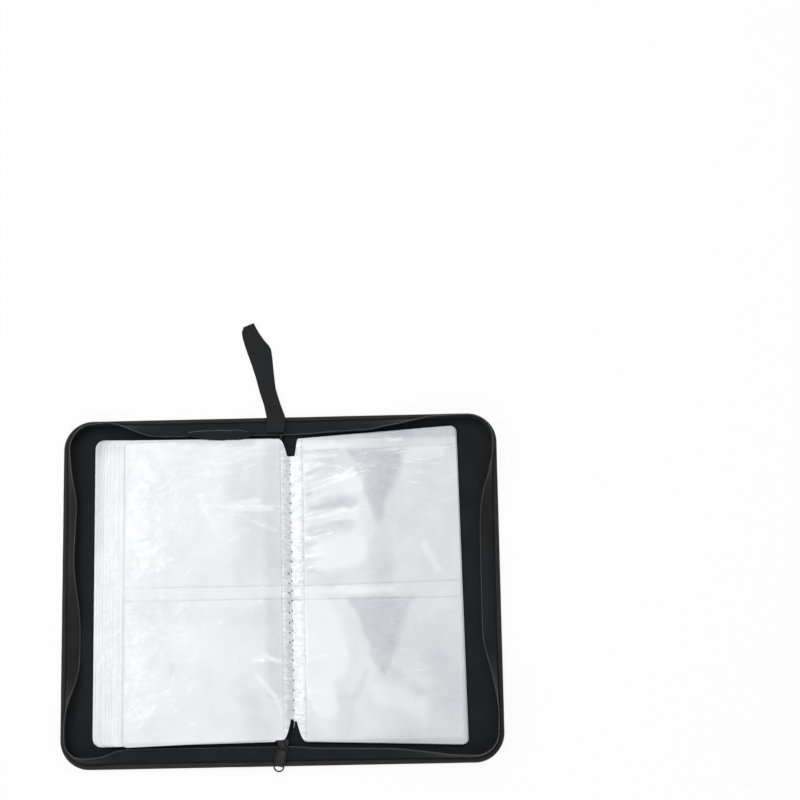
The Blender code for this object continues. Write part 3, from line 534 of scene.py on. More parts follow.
def sleeve_film(colours):
    """Clear polypropylene film welded on white non-woven: a fibrous pale ground under a glossy, rippled coat."""
    material, tree, shader = new_material(
        "film_on_nonwoven", colours.sleeve,
        {"Roughness": 0.55, "Coat Weight": 0.9, "Coat Roughness": 0.12, "Coat IOR": 1.49})
    if not tree:
        return material
    place = add_node(tree, "TexCoord", out="Object")
    cloth = add_node(tree, "UVMap", uv_map="cloth")
    tone_and_painted_light, weld, crinkle = [add_node(tree, "Attribute", out="Fac", attribute_name=name)
                            for name in ("tone_and_painted_light", "weld", "crinkle")]
    # Greyer where the film clings, mottled there, with a mist all over; the same attribute also carries painted
    # shade, painted shadow and painted highlights
    cloud = add_node(tree, "TexNoise", {"Scale": 1 / (26 * MM), "Detail": 4, "Roughness": 0.55, "Vector": place})
    mottle = add_node(tree, "TexNoise", {"Scale": 1 / (3.5 * MM), "Detail": 6, "Roughness": 0.7, "Vector": place})
    mottling = add_node(tree, "MapRange", {"From Min": 0.3, "From Max": 0.7, "To Min": -0.16, "To Max": 0.16,
                                           "Value": mottle})
    blotch = add_node(tree, "Math", {0: mottling, 1: tone_and_painted_light, 2: tone_and_painted_light}, operation="MULTIPLY_ADD")
    mist = add_node(tree, "MapRange", {"From Min": 0.35, "From Max": 0.7, "To Min": -0.05, "To Max": 0.09,
                                       "Value": cloud})
    soft = add_node(tree, "Math", {0: blotch, 1: mist}, operation="ADD")
    # Slanting streaks of painted highlight and painted shade where the stitches crinkle it
    slant = add_node(tree, "Mapping", {"Scale": (1.0, 2.4, 1.0), "Rotation": (0, 0, -0.5), "Vector": place})
    streaks = add_node(tree, "TexNoise", {"Scale": 1 / (6 * MM), "Detail": 1.5, "Roughness": 0.5,
                                          "Distortion": 0.8, "Vector": slant})
    sparkle = add_node(tree, "MapRange", {"From Min": 0.36, "From Max": 0.64, "To Min": -0.3, "To Max": 0.24,
                                          "Value": streaks})
    amount = add_node(tree, "Math", {0: sparkle, 1: crinkle, 2: soft}, operation="MULTIPLY_ADD", use_clamp=True)
    rim = add_node(tree, "Math", {0: weld, 1: 0.16, 2: amount}, operation="MULTIPLY_ADD", use_clamp=True)
    # The ground's fibres, the welds' knurling, and the film's own creases in the coat
    fibres = add_node(tree, "TexNoise", {"Scale": 1 / (0.8 * MM), "Detail": 5, "Roughness": 0.65, "Vector": place})
    knurl = [add_node(tree, "TexWave", {"Scale": wave_scale(1.3 * MM), "Vector": cloth},
                      out="Fac", bands_direction=direction) for direction in ("X", "Y")]
    teeth = add_node(tree, "Math", {0: knurl[0], 1: knurl[1]}, operation="MULTIPLY")
    pressed = add_node(tree, "Math", {0: teeth, 1: weld}, operation="MULTIPLY")
    fine = add_node(tree, "Bump", {"Strength": 0.25, "Distance": 0.12 * MM, "Height": fibres})
    knurled = add_node(tree, "Bump", {"Strength": 0.9, "Distance": 0.35 * MM, "Height": pressed, "Normal": fine})
    stretch = add_node(tree, "Mapping", {"Scale": (1.0, 2.2, 1.0), "Vector": place})
    creases = add_node(tree, "TexNoise", {"Scale": 1 / (16 * MM), "Detail": 3, "Distortion": 0.8,
                                          "Vector": stretch})
    feed(shader, {
        "Base Color": add_node(tree, "Mix", {"A": (*colours.sleeve, 1), "B": (*colours.sleeve_shade, 1),
                                             "Factor": rim}, data_type="RGBA"),
        "Normal": knurled,
        "Coat Normal": add_node(tree, "Bump", {"Strength": 0.5, "Distance": 1.6 * MM, "Height": creases,
                                               "Normal": knurled}),
    })
    return material


def speckled(name, base, roughness, grain, depth, coat=0.0):
    """A moulded, lacquered or twisted finish: a fine noise in its colour, roughness and surface."""
    material, tree, shader = new_material(name, base, {"Coat Weight": coat, "Coat Roughness": 0.2})
    if not tree:
        return material
    place = add_node(tree, "TexCoord", out="Object")
    specks = add_node(tree, "TexNoise", {"Scale": 1 / grain, "Detail": 4, "Vector": place})
    feed(shader, {
        "Base Color": add_node(tree, "Mix", {"A": shade(base, 0.75), "B": shade(base, 1.3), "Factor": specks},
                               data_type="RGBA"),
        "Roughness": add_node(tree, "MapRange", {"To Min": roughness * 0.8, "To Max": roughness * 1.25,
                                                 "Value": specks}),
        "Normal": add_node(tree, "Bump", {"Strength": 0.4, "Distance": depth, "Height": specks}),
    })
    return material


def tape_cloth(colours):
    """The zipper tape's twill, woven on the slant."""
    return woven("polyester_tape", colours.tape, 0.9 * MM, 0.12 * MM, 0.75, 0.04, math.radians(45))


def coil_nylon(colours):
    """The moulded nylon of the zipper's teeth, a little glossy."""
    return speckled("nylon_coil", colours.teeth, 0.34, 0.5 * MM, 0.05 * MM, coat=0.3)


class EdgePath:
    """The free edge of one cover, from the spine round both corners and back to the spine."""

    def __init__(self, side, radius, start=0.0):
        self.side = side
        self.radius = radius
        self.start = start * side
        self.straight = REACH - radius - self.start
        self.arc = radius * math.pi / 2
        self.outer = 2 * (HALF_HEIGHT - radius)
        self.length = 2 * (self.straight + self.arc) + self.outer
        self.leans = LEAN_FRONT if side < 0 else LEAN_BACK

    def at(self, run, inset, height):
        """A point at a distance along the edge, in from it and above the table."""
        mirrored = run > self.length / 2
        run = self.length - run if mirrored else run
        low = HALF_HEIGHT - self.radius
        if run <= self.straight:
            x, y = self.start + run, -HALF_HEIGHT + inset
        elif run <= self.straight + self.arc:
            angle = (run - self.straight) / self.radius
            reach = self.radius - inset
            x = REACH - self.radius + math.sin(angle) * reach
            y = -low - math.cos(angle) * reach
        else:
            x, y = REACH - inset, -low + run - self.straight - self.arc
        return Vector((x * self.side, -y if mirrored else y, height))

    def lean(self, run):
        """How far the zipper wall leans in here, in radians."""
        half = "top" if run > self.length / 2 else "bottom"
        spot = self.at(run, 0.0, 0.0) / MM
        low = (HALF_HEIGHT - self.radius) / MM
        if abs(spot.y) <= low:
            degrees = between(self.leans["outer"], spot.y)
        else:
            degrees = between(self.leans[half], abs(spot.x))
            near = between(self.leans["outer"], math.copysign(low, spot.y))
            corner = (abs(spot.x) - (REACH - self.radius) / MM) / (self.radius / MM)
            degrees += (near - degrees) * ease(corner)
        return math.radians(degrees)

    def runs(self, step, corner_step):
        """Distances along the edge, finer near the folds and in the corners."""
        half = joined(spread(0, FINE_END - self.start, 2 * MM),
                      spread(FINE_END - self.start, self.straight, step),
                      spread(self.straight, self.straight + self.arc, corner_step),
                      spread(self.straight + self.arc, self.length / 2, step))
        return half + [self.length - run for run in reversed(half[:-1])]


def rounded_half(x, reach, half, radius):
    """Half the height of a rounded cover at a distance from the spine's middle."""
    past = max(x - (reach - radius), 0.0)
    return half - radius + math.sqrt(max(radius * radius - past * past, 0.0))


def rounded_columns(start, reach, radius, step):
    """Distances across a rounded cover: finer at the fold and round the corner."""
    corner = [reach - radius + radius * math.sin(math.pi / 2 * i / 10) for i in range(11)]
    first = max(start, 0.0)
    near = spread(first, max(FINE_END, first + step), 2 * MM)
    return joined(near, spread(near[-1], reach - radius, step), corner)


def edge_distance(x, y, reach, half, radius):
    """How far a point lies in from a rounded cover's edge."""
    x, y = x - (reach - radius), abs(y) - (half - radius)
    if x > 0 and y > 0:
        return radius - math.hypot(x, y)
    return radius - max(x, y)


def outline(inset, sizes):
    """The reach, half height and corner radius of a layer that stops short of its cover's edge."""
    return REACH - inset, HALF_HEIGHT - inset, sizes.corner_radius - inset


class MakeCovers(bpy.types.Operator):
    """Makes the leatherette, the stiffener boards and the woven lining"""

    bl_idname = "wallet.make_covers"
    bl_label = "Covers"

    def execute(self, context):
        sizes, colours = context.scene.wallet_sizes, context.scene.wallet_colours
        leather = leatherette(colours)
        board = speckled("greyboard", colours.board, 0.85, 0.8 * MM, 0.1 * MM)
        cloth = woven("nylon_lining", colours.lining, 1.3 * MM, 0.14 * MM, 0.8, 0.02)
        for side, name in ((-1, "front"), (1, "back")):
            self.skin(side, name, sizes, leather)
            self.lining(side, name, sizes, cloth)
            self.board(side, name, sizes, board)
        self.spine_board(board)
        return {"FINISHED"}

    def skin(self, side, name, sizes, material):
        """The leatherette: flat on the table, rising at its margin to go under the ribbon."""
        reach, half, radius = outline(SKIN_INSET, sizes)
        columns = joined(rounded_columns(0, reach, radius, 8 * MM), [reach - margin for margin in STEP_MARGINS])
        rows = joined(spread(-1, 1, 0.045),
                      [sign * (1 - margin / half) for margin in STEP_MARGINS for sign in (-1, 1)])

        def place(x, share):
            y = share * rounded_half(x, reach, half, radius)
            margin = edge_distance(x, y, reach, half, radius)
            rise = 1 - ease((margin - STEP_START) / STEP_RUN)
            crown = SKIN_CROWN * ease((margin - CROWN_START) / CROWN_RUN)
            return Vector((side * x, y, SKIN_LEVEL + STEP_RISE * rise - crown))

        piece = finish_piece(name + "_leatherette", draw_sheet(columns, rows, place), material, 1.1 * MM)
        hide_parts(name + "_cover_skin", "spine_skin")
        bend_with(piece, side)

    def lining(self, side, name, sizes, material):
        """The woven lining, a little slack over the board."""
        reach, half, radius = outline(LINING_INSET, sizes)

        def place(x, share):
            y = share * rounded_half(x, reach, half, radius)
            slack = 0.12 * MM * ripple(x * side, y, 28 * MM, 3.0) + 0.05 * MM * ripple(x, y, 7 * MM, 9.0)
            return Vector((side * x, y, (LINING_LOW + LINING_TOP) / 2 + slack))

        mesh = draw_sheet(rounded_columns(0, reach, radius, 4 * MM), spread(-1, 1, 0.03), place)
        layer = mesh.loops.layers.uv["cloth"]
        for face in mesh.faces:
            for loop in face.loops:
                loop[layer].uv = (loop.vert.co.x, loop.vert.co.y)
        piece = finish_piece(name + "_lining", mesh, material, 0.3 * MM)
        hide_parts(name + "_cover_lining", "spine_lining")
        bend_with(piece, side)

    def board(self, side, name, sizes, material):
        """A stiffener, which stops short of the fold."""
        reach, half, radius = outline(BOARD_INSET, sizes)
        columns = rounded_columns(HALF_SPINE + BOARD_GAP, reach, radius, 20 * MM)
        mesh = draw_sheet(columns, spread(-1, 1, 0.25), lambda x, share: Vector(
            (side * x, share * rounded_half(x, reach, half, radius), BOARD_MIDDLE)))
        piece = finish_piece("stiffener_" + name, mesh, material, BOARD_TOP - BOARD_LOW)
        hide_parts(name + "_cover_board")
        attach(piece, name + "_cover")

    def spine_board(self, material):
        """The spine's stiffener."""
        reach, half = HALF_SPINE - BOARD_GAP, HALF_HEIGHT - BOARD_INSET
        mesh = draw_sheet(spread(-reach, reach, 5 * MM), spread(-half, half, 30 * MM),
                          lambda x, y: Vector((x, y, BOARD_MIDDLE)))
        piece = finish_piece("stiffener_spine", mesh, material, BOARD_TOP - BOARD_LOW)
        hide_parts("spine_board")
        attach(piece, "spine")


def ribbon_points(sizes):
    """The binding's section, as (inset, height) along the ribbon: under, round the edge and over."""
    low, high = 0.45 * MM, RIBBON_TOP - 0.25 * MM
    radius = (high - low) / 2
    bend = radius + 0.25 * MM
    points = [(inset, low) for inset in spread(sizes.ribbon_under + 0.5 * MM, bend, 2.4 * MM)]
    for index in range(1, 10):
        angle = math.pi * index / 10
        points.append((bend - radius * math.sin(angle), (low + high) / 2 - radius * math.cos(angle)))
    end = sizes.ribbon_over + 0.5 * MM
    return points + [(bend, high), ((bend + end) / 2, high - 0.02 * MM), (end, high - 0.2 * MM)]


class MakeBinding(bpy.types.Operator):
    """Makes the ribbon folded round the covers' edges and its stitches"""

    bl_idname = "wallet.make_binding"
    bl_label = "Binding"

    def execute(self, context):
        sizes, colours = context.scene.wallet_sizes, context.scene.wallet_colours
        ribbon = grosgrain("grosgrain_ribbon", colours.ribbon, 1.1 * MM)
        thread = speckled("polyester_thread", colours.tape, 0.6, 0.3 * MM, 0.05 * MM)
        points = ribbon_points(sizes)
        distances = [0.0]
        for before, after in zip(points, points[1:]):
            distances.append(distances[-1] + math.dist(before, after))
        section = dict(zip(distances, points))
        for side, name in ((-1, "front"), (1, "back")):
            path = EdgePath(side, sizes.corner_radius)

            def place(across, run):
                inset, height = section[across]
                pull = 0.12 * MM * ripple(run, inset, 18 * MM, side * 2.0)
                return path.at(run, inset + pull, height)

            mesh = draw_sheet(distances, path.runs(8 * MM, 3 * MM), place)
            piece = finish_piece(name + "_binding_ribbon", mesh, ribbon, sizes.cloth)
            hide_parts(name + "_cover_binding", "spine_binding_bottom", "spine_binding_top")
            bend_with(piece, side)
            self.stitches(path, sizes, name, thread)
        return {"FINISHED"}

    def stitches(self, path, sizes, name, material):
        """Lockstitch along the ribbon, one row inside and one outside."""
        count = int(path.length / sizes.stitch_pitch)
        rows = ((3.0 * MM, RIBBON_TOP + 0.02 * MM), (sizes.ribbon_under - 1.2 * MM, 0.2 * MM))
        size = Matrix.Diagonal((1.2 * MM, 0.26 * MM, 0.19 * MM, 1))
        up = Vector((0, 0, 1))
        beads = []
        for index in range(count):
            run = (index + 0.5) * path.length / count
            for inset, height in rows:
                spot = path.at(run, inset, height)
                ahead = (path.at(run + 0.1 * MM, inset, height) - spot).normalized()
                beads.append(Matrix.Translation(spot) @ axes(ahead, up.cross(ahead), up) @ size)
        mesh = bmesh.new()
        add_beads(mesh, beads, 6, 4)
        piece = finish_piece(name + "_binding_stitches", mesh, material)
        bend_with(piece, path.side)


def wall_point(lean, distance):
    """A point of the zipper wall past its root, as (inset, height), and the wall's angle there."""
    first = lean * 0.6
    turn = 0.8 * lean / TAPE_WALL
    angle = first + turn * distance
    if abs(turn * distance) < 1e-4:
        inset, rise = math.sin(first) * distance, math.cos(first) * distance
    else:
        inset = (math.cos(first) - math.cos(angle)) / turn
        rise = (math.sin(angle) - math.sin(first)) / turn
    return WALL_ROOT + inset, TAPE_MIDDLE + rise, angle


class MakeZipper(bpy.types.Operator):
    """Makes the two zipper tapes and their rows of coil teeth"""

    bl_idname = "wallet.make_zipper"
    bl_label = "Zipper"

    def execute(self, context):
        sizes, colours = context.scene.wallet_sizes, context.scene.wallet_colours
        tape, nylon = tape_cloth(colours), coil_nylon(colours)
        for side, name in ((-1, "front"), (1, "back")):
            path = EdgePath(side, sizes.corner_radius, SLIDER_X + side * 1.1 * MM)
            self.tape(path, name, sizes, tape)
            self.teeth(path, name, sizes, nylon)
        return {"FINISHED"}

    def wave(self, path, run):
        """A little slackness in the wall, none at the ends."""
        ends = ease(min(run, path.length - run) / (40 * MM))
        return math.radians(1.2) * ripple(run, path.side, 30 * MM, 5.0) * ends

    def tape(self, path, name, sizes, material):
        """A sewn foot and a wall that leans in over the lining."""
        foot = WALL_ROOT - FOOT_START
        across = joined([0.0, foot / 2, foot, foot + TAPE_WALL],
                        [foot + rise * MM for rise in (0.4, 0.9, 1.8, 3.2, 5, 7, 9, 10.6, 11.6)])

        def place(distance, run):
            if distance <= foot:
                return path.at(run, FOOT_START + distance, TAPE_MIDDLE)
            inset, height, _ = wall_point(path.lean(run) + self.wave(path, run), distance - foot)
            return path.at(run, inset, height)

        piece = finish_piece(name + "_tape", draw_sheet(across, path.runs(4 * MM, 2.5 * MM), place),
                             material, sizes.cloth, sharp=80)
        ends = ["zipper_end_tape_%s_%s" % (end, name) for end in ("bottom", "top")]
        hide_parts(name + "_zipper_tape", *ends)
        bend_with(piece, path.side)

    def teeth(self, path, name, sizes, material):
        """The coil: one small turn at each pitch, on a cord along the tape's edge."""
        count = int(path.length / sizes.tooth_pitch)
        turns = []
        for index in range(count + 1):
            run = index * path.length / count
            inset, height, angle = wall_point(path.lean(run) + self.wave(path, run), TAPE_WALL + 0.35 * MM)
            spot = path.at(run, inset, height)
            inward = path.at(run, inset + math.sin(angle) * MM, height + math.cos(angle) * MM) - spot
            inward.normalize()
            next_run = min(run + 0.2 * MM, path.length)
            ahead = (path.at(next_run, inset, height) - path.at(next_run - 0.2 * MM, inset, height)).normalized()
            turns.append((spot, ahead, inward, ahead.cross(inward).normalized()))
        mesh = bmesh.new()
        add_coil(mesh, turns, 0.26 * MM, (0.46 * MM, 0.95 * MM, 0.62 * MM))
        piece = finish_piece(name + "_coil_teeth", mesh, material)
        ends = ["zipper_end_teeth_%s_%s" % (end, name) for end in ("bottom", "top")]
        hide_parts(name + "_zipper_teeth", *ends)
        bend_with(piece, path.side)


def dressed_copy(node, width):
    """A copy of a rigid node, which stands for it, with its edges bevelled to a width."""
    mesh = bmesh.new()
    mesh.from_mesh(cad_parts[node].data)
    bmesh.ops.transform(mesh, matrix=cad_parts[node].matrix_world, verts=mesh.verts)
    bmesh.ops.remove_doubles(mesh, verts=mesh.verts, dist=0.005 * MM)
    bmesh.ops.dissolve_limit(mesh, angle_limit=math.radians(1), verts=mesh.verts, edges=mesh.edges)
    if width:
        edges = [edge for edge in mesh.edges if edge.calc_face_angle(0) > math.radians(28)]
        bmesh.ops.bevel(mesh, geom=edges, offset=width, offset_type="OFFSET", segments=2, profile=0.5,
                        affect="EDGES", clamp_overlap=True, material=-1)
    return mesh


class MakeSlider(bpy.types.Operator):
    """Makes the zipper's slider, its pull and the end stop"""

    bl_idname = "wallet.make_slider"
    bl_label = "Slider and pull"

    def execute(self, context):
        colours = context.scene.wallet_colours
        metal = speckled("black_lacquered_zinc", colours.metal, 0.55, 1.2 * MM, 0.03 * MM)
        # Each part's node, name, bevel, body and smoothing
        parts = (("zipper_slider", "slider_body", 0.18 * MM, "spine", 0),
                 ("zipper_end_stop", "end_stop", 0.2 * MM, "spine", 0),
                 ("pull_plate", "pull_blade", 0.12 * MM, "pull", 0),
                 ("pull_loop", "pull_wire", 0.0, "pull", 2))
        for node, name, width, body, levels in parts:
            mesh = dressed_copy(node, width)
            if node == "pull_loop":
                # The wire is a little thicker, but not where it turns in the slider's bail
                mesh.normal_update()
                for vert in mesh.verts:
                    clear = ease((SLIDER_LOW[1] - 1 * MM - vert.co.y) / (4 * MM))
                    vert.co += vert.normal * 0.22 * MM * clear
            piece = finish_piece(name, mesh, metal, levels=levels, sharp=40)
            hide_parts(node)
            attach(piece, body)
        return {"FINISHED"}


def sew_line(number):
    """Where a sheet is sewn to the spine."""
    return (number - (SHEET_COUNT + 1) / 2) * SHEET_PITCH


class Leaf:
    """One leaf of a sleeve sheet, from its sewing line to its free edge. Details replace those given here."""

    flare, tilt, droop, trim = (0.0, 0.0), 0.0, 0.0, 0.0
    flange, corner = FLANGE, LEAF_CORNER
    swell = drift = None

    def __init__(self, side, sew_x, edge_x, low, level, **details):
        self.side = side
        self.sew_x = sew_x
        self.edge_x = edge_x
        self.width = abs(edge_x - sew_x)
        self.low = low
        self.level = level
        for name, value in details.items():
            setattr(self, name, value)

    def shoulder(self, distance, end):
        """How deep the notch is cut here, as a share. The leaf's corner beside it is rounded."""
        start, deepest = NOTCH_ENDS[self.side][end]
        return min(max((start - distance / MM) / (start - deepest), 0.0), 1.0) ** NOTCH_CURVE

    def ends(self, distance):
        """Lowest and highest y at a distance from the sewing line."""
        near_edge = self.corner - (self.width - distance)
        drop = 0.0
        if near_edge > 0:
            drop = self.corner - math.sqrt(max(self.corner ** 2 - near_edge ** 2, 0.0))
        out = distance / self.width
        low = -LEAF_HALF + drop + NOTCH_BOTTOM * self.shoulder(distance, 0)
        high = LEAF_HALF - drop - NOTCH_TOP * self.shoulder(distance, 1)
        return low + self.trim * (1 - out) - self.flare[0] * out, high + self.flare[1] * out

    def at(self, distance, share):
        """A point of the leaf at a distance from the sewing line and a share of its height."""
        low, high = self.ends(distance)
        y = low + (high - low) * share
        rise = math.sin(min(max(distance, 0.0) / self.flange, 1.0) * math.pi / 2)
        height = self.low + (self.level - self.low) * rise
        past = max(distance - self.flange, 0.0) / (16 * MM)
        height -= self.droop * (1 - ease(past)) * ease(distance / self.flange)
        out = distance / self.width
        x = self.sew_x + self.side * (distance + self.tilt * (0.5 - share) * out)
        if self.drift:
            x += self.drift(y) * (1 - out)
        if self.swell:
            height += self.swell(self, distance, y, low, high)
        return Vector((x, y, height))


def sewing_drift(y):
    """How far the opening's stitches stand to the right at a height."""
    return SEW_DRIFT[0] + (SEW_DRIFT[1] - SEW_DRIFT[0]) * (0.5 - y / (2 * LEAF_HALF))


def past_weld(side, x, y):
    """How far a point lies out from the weld beside the opening's stitches."""
    return side * (x - sew_line(OPEN_AT) - sewing_drift(y)) - OPEN_FLANGE[side]


def fold_height(folds, reach, y):
    """The film's ridges, which start at the pocket's weld and die away outwards."""
    total = 0.0
    reach /= MM
    if reach < 0:
        return 0.0
    for start, rise, length, half_width, height in folds:
        share = reach / length
        if share < 1.6:
            gap = (y / MM - start - rise * share) / (half_width * (0.45 + 0.75 * share))
            total += height * math.exp(-gap * gap) * (1 - ease(share / 1.6)) * ease(0.25 + share * 4)
    return total * MM


def pocket_swell(folds, seams, seed):
    """A function for the height of a leaf's film: swollen pockets between welds, folds and ripples."""
    band = [(first + second) / 2 for first, second in zip(*seams[:2])]
    half_band = abs(seams[0][0] - seams[1][0]) / 2 * MM

    def swell(leaf, distance, y, low, high):
        x = leaf.sew_x + leaf.side * distance
        out = distance / leaf.width
        crinkle = 0.0
        if distance < leaf.flange:
            inside = math.sin(distance / leaf.flange * math.pi)
            crinkle = inside * 0.34 * MM * ripple(x, y * 1.6, 5.5 * MM, seed)
        reach = distance - leaf.flange
        edge = min(reach, leaf.width - distance - 2.4 * MM, y - low - 3 * MM, high - y - 3 * MM)
        gaps = [abs(y - (start + rise * out) * MM) for start, rise in seams]
        seam_gap = min(gaps)
        groove = sum(math.exp(-(gap / (0.7 * MM)) ** 2) for gap in gaps) + math.exp(-(reach / (0.6 * MM)) ** 2)
        middle = (band[0] + band[1] * out) * MM
        between_seams = ease((half_band + 1.0 * MM - abs(y - middle)) / (1.0 * MM))
        rim = 1 - math.exp(-(max(edge, 0.0) / (17 * MM)) ** 2)
        open_film = rim * (1 - math.exp(-(seam_gap / (15 * MM)) ** 2)) * (1 - between_seams)
        loose = ease(edge / (3 * MM)) * ease(seam_gap / (3 * MM))
        waves = 0.34 * MM * ripple(x, y, 27 * MM, seed + 2) + 0.13 * MM * ripple(x, y, 9 * MM, seed + 4)
        ridges = fold_height(folds, reach, plan_place(x, y)[1])
        ridges *= ease(seam_gap / (4 * MM)) * ease((edge + 1.5 * MM) / (3 * MM))
        return crinkle + POCKET_PUFF * open_film + waves * loose + ridges - 0.3 * MM * groove

    return swell


def inside_patch(table, x, y):
    """1 inside a patch given by its left and right bounds at each height, easing to 0 at its border."""
    x, y = x / MM, y / MM
    bottom, top = table[0][0] - 8, table[-1][0] + 4
    if not bottom <= y <= top:
        return 0.0
    left = between([(row[0], row[1]) for row in table], y)
    right = between([(row[0], row[2]) for row in table], y)
    wander = 2.6 * ripple(x, y, 12.0, 7.0)
    sides = ease((x - left + 2 + wander) / 5) * ease((right - x + 4 + wander) / 9)
    return sides * ease((y - bottom) / 12) * ease((top - y) / 6)


def soft_marks(marks, x, y):
    """The sum of soft marks at a point, each a capsule that widens from one end to the other."""
    total = 0.0
    spot = Vector((x / MM, y / MM))
    spot += Vector((ripple(x, y, 9 * MM, 51.0), ripple(x, y, 9 * MM, 57.0))) * 1.6
    for x0, y0, x1, y1, first, second, amount in marks:
        start, run = Vector((x0, y0)), Vector((x1 - x0, y1 - y0))
        share = min(max((spot - start).dot(run) / run.length_squared, 0.0), 1.0)
        half = first + (second - first) * share
        gap = (spot - start - run * share).length / half
        if gap < 1.7:
            total += amount * ease((1.7 - gap) / 1.2)
    return total


def right_tone_and_painted_light(x, y):
    """How grey the right leaf's film shows: where it clings to its backing, plus painted shade and painted
    highlights from its soft marks.
    """
    plan = plan_place(x, y)
    patch = max(inside_patch(CLING_UPPER, *plan), 0.84 * inside_patch(CLING_LOWER, *plan))
    side = 0.2 * ease((x / MM - 66) / 30)
    hollow = 0.14 * ripple(x, y, 30 * MM, 11.0) + 0.07 * ripple(x, y, 11 * MM, 12.0)
    line = 0.4 * math.exp(-(past_weld(1, x, y) / (0.55 * MM)) ** 2)
    return min(1.0, max(0.0, 0.24 + patch * 0.46 + side + hollow + line + soft_marks(TONE_AND_PAINTED_LIGHT_MARKS_RIGHT, *plan)))


def left_tone_and_painted_light(x, y):
    """The left leaf is paler, with painted shade towards the gutter and down it, a painted shadow under the tape
    and painted highlights on its creases.
    """
    # Painted shade towards the gutter, where the leaf curves down
    gutter_shade = 0.1 * ease((x / MM + 60) / 50)
    hollow = 0.06 * ripple(x, y, 34 * MM, 21.0) + 0.04 * ripple(x, y, 12 * MM, 22.0)
    line = 0.45 * math.exp(-(past_weld(-1, x, y) / (0.55 * MM)) ** 2)
    return min(1.0, max(0.0, 0.12 + gutter_shade + hollow + line + soft_marks(TONE_AND_PAINTED_LIGHT_MARKS_LEFT, *plan_place(x, y))))


def stack_tone_and_painted_shade(x, y):
    """The edges of the lower leaves: greyer on the lowest ones at the far left, and at the top painted shade under
    the tape.
    """
    low_strip = 0.34 * ease((-148 - x / MM) / 4) * ease((y / MM - 20) / 30)
    # Painted shade along the top, under the tape
    top = 0.3 * ease((y / MM - 112) / 12)
    stripes = 0.07 * ripple(x, y / 9, 2.6 * MM, 81.0)
    return min(1.0, max(0.0, 0.1 + low_strip + top + stripes))


def flange_mark(side):
    """A function for where the film is crinkled by the stitching, from 0 to 1."""

    def mark(x, y):
        return ease((0.6 * MM - past_weld(side, x, y)) / (1.5 * MM))

    return mark


def weld_mark(leaf, seams):
    """A function for where the film is pressed to its backing: round the leaf and at its seams."""
    edge = abs(leaf.edge_x)

    def mark(x, y):
        reach = leaf.side * x
        rim = max(ease(1 - (edge - reach) / (2.4 * MM)), ease(1 - (LEAF_HALF - abs(y)) / (2.6 * MM)))
        out = max(0.0, reach) / edge
        lines = [math.exp(-((y - (start + rise * out) * MM) / (0.9 * MM)) ** 2) for start, rise in seams]
        return max(rim, *lines)

    return mark


def leaf_columns(leaf, step):
    """Distances from the sewing line to the free edge, finer at the flange and at the edge."""
    corner = [leaf.width - leaf.corner * share for share in (1, 0.75, 0.55, 0.38, 0.24, 0.12, 0.04, 0)]
    flange = max(leaf.flange, 10 * MM)
    pocket_line = [leaf.flange + offset * MM for offset in (-0.9, -0.45, 0, 0.45, 0.9)]
    return joined([-OVERLAP], spread(0, flange + 2 * MM, 0.85 * MM), pocket_line,
                  spread(flange + 2 * MM, leaf.width - leaf.corner, step), corner)


def leaf_shares(step, seams):
    """Shares of a leaf's height, finer at its ends and seams."""
    height = 2 * LEAF_HALF
    ends = [gap * MM / height for gap in (0, 0.5, 1.2, 2, 3)]
    lines = [0.5 + (start + rise / 2 + offset) * MM / height
             for start, rise in seams for offset in (-1.2, -0.6, 0, 0.6, 1.2)]
    return joined(spread(0, 1, step / height), ends, [1 - end for end in ends], lines)


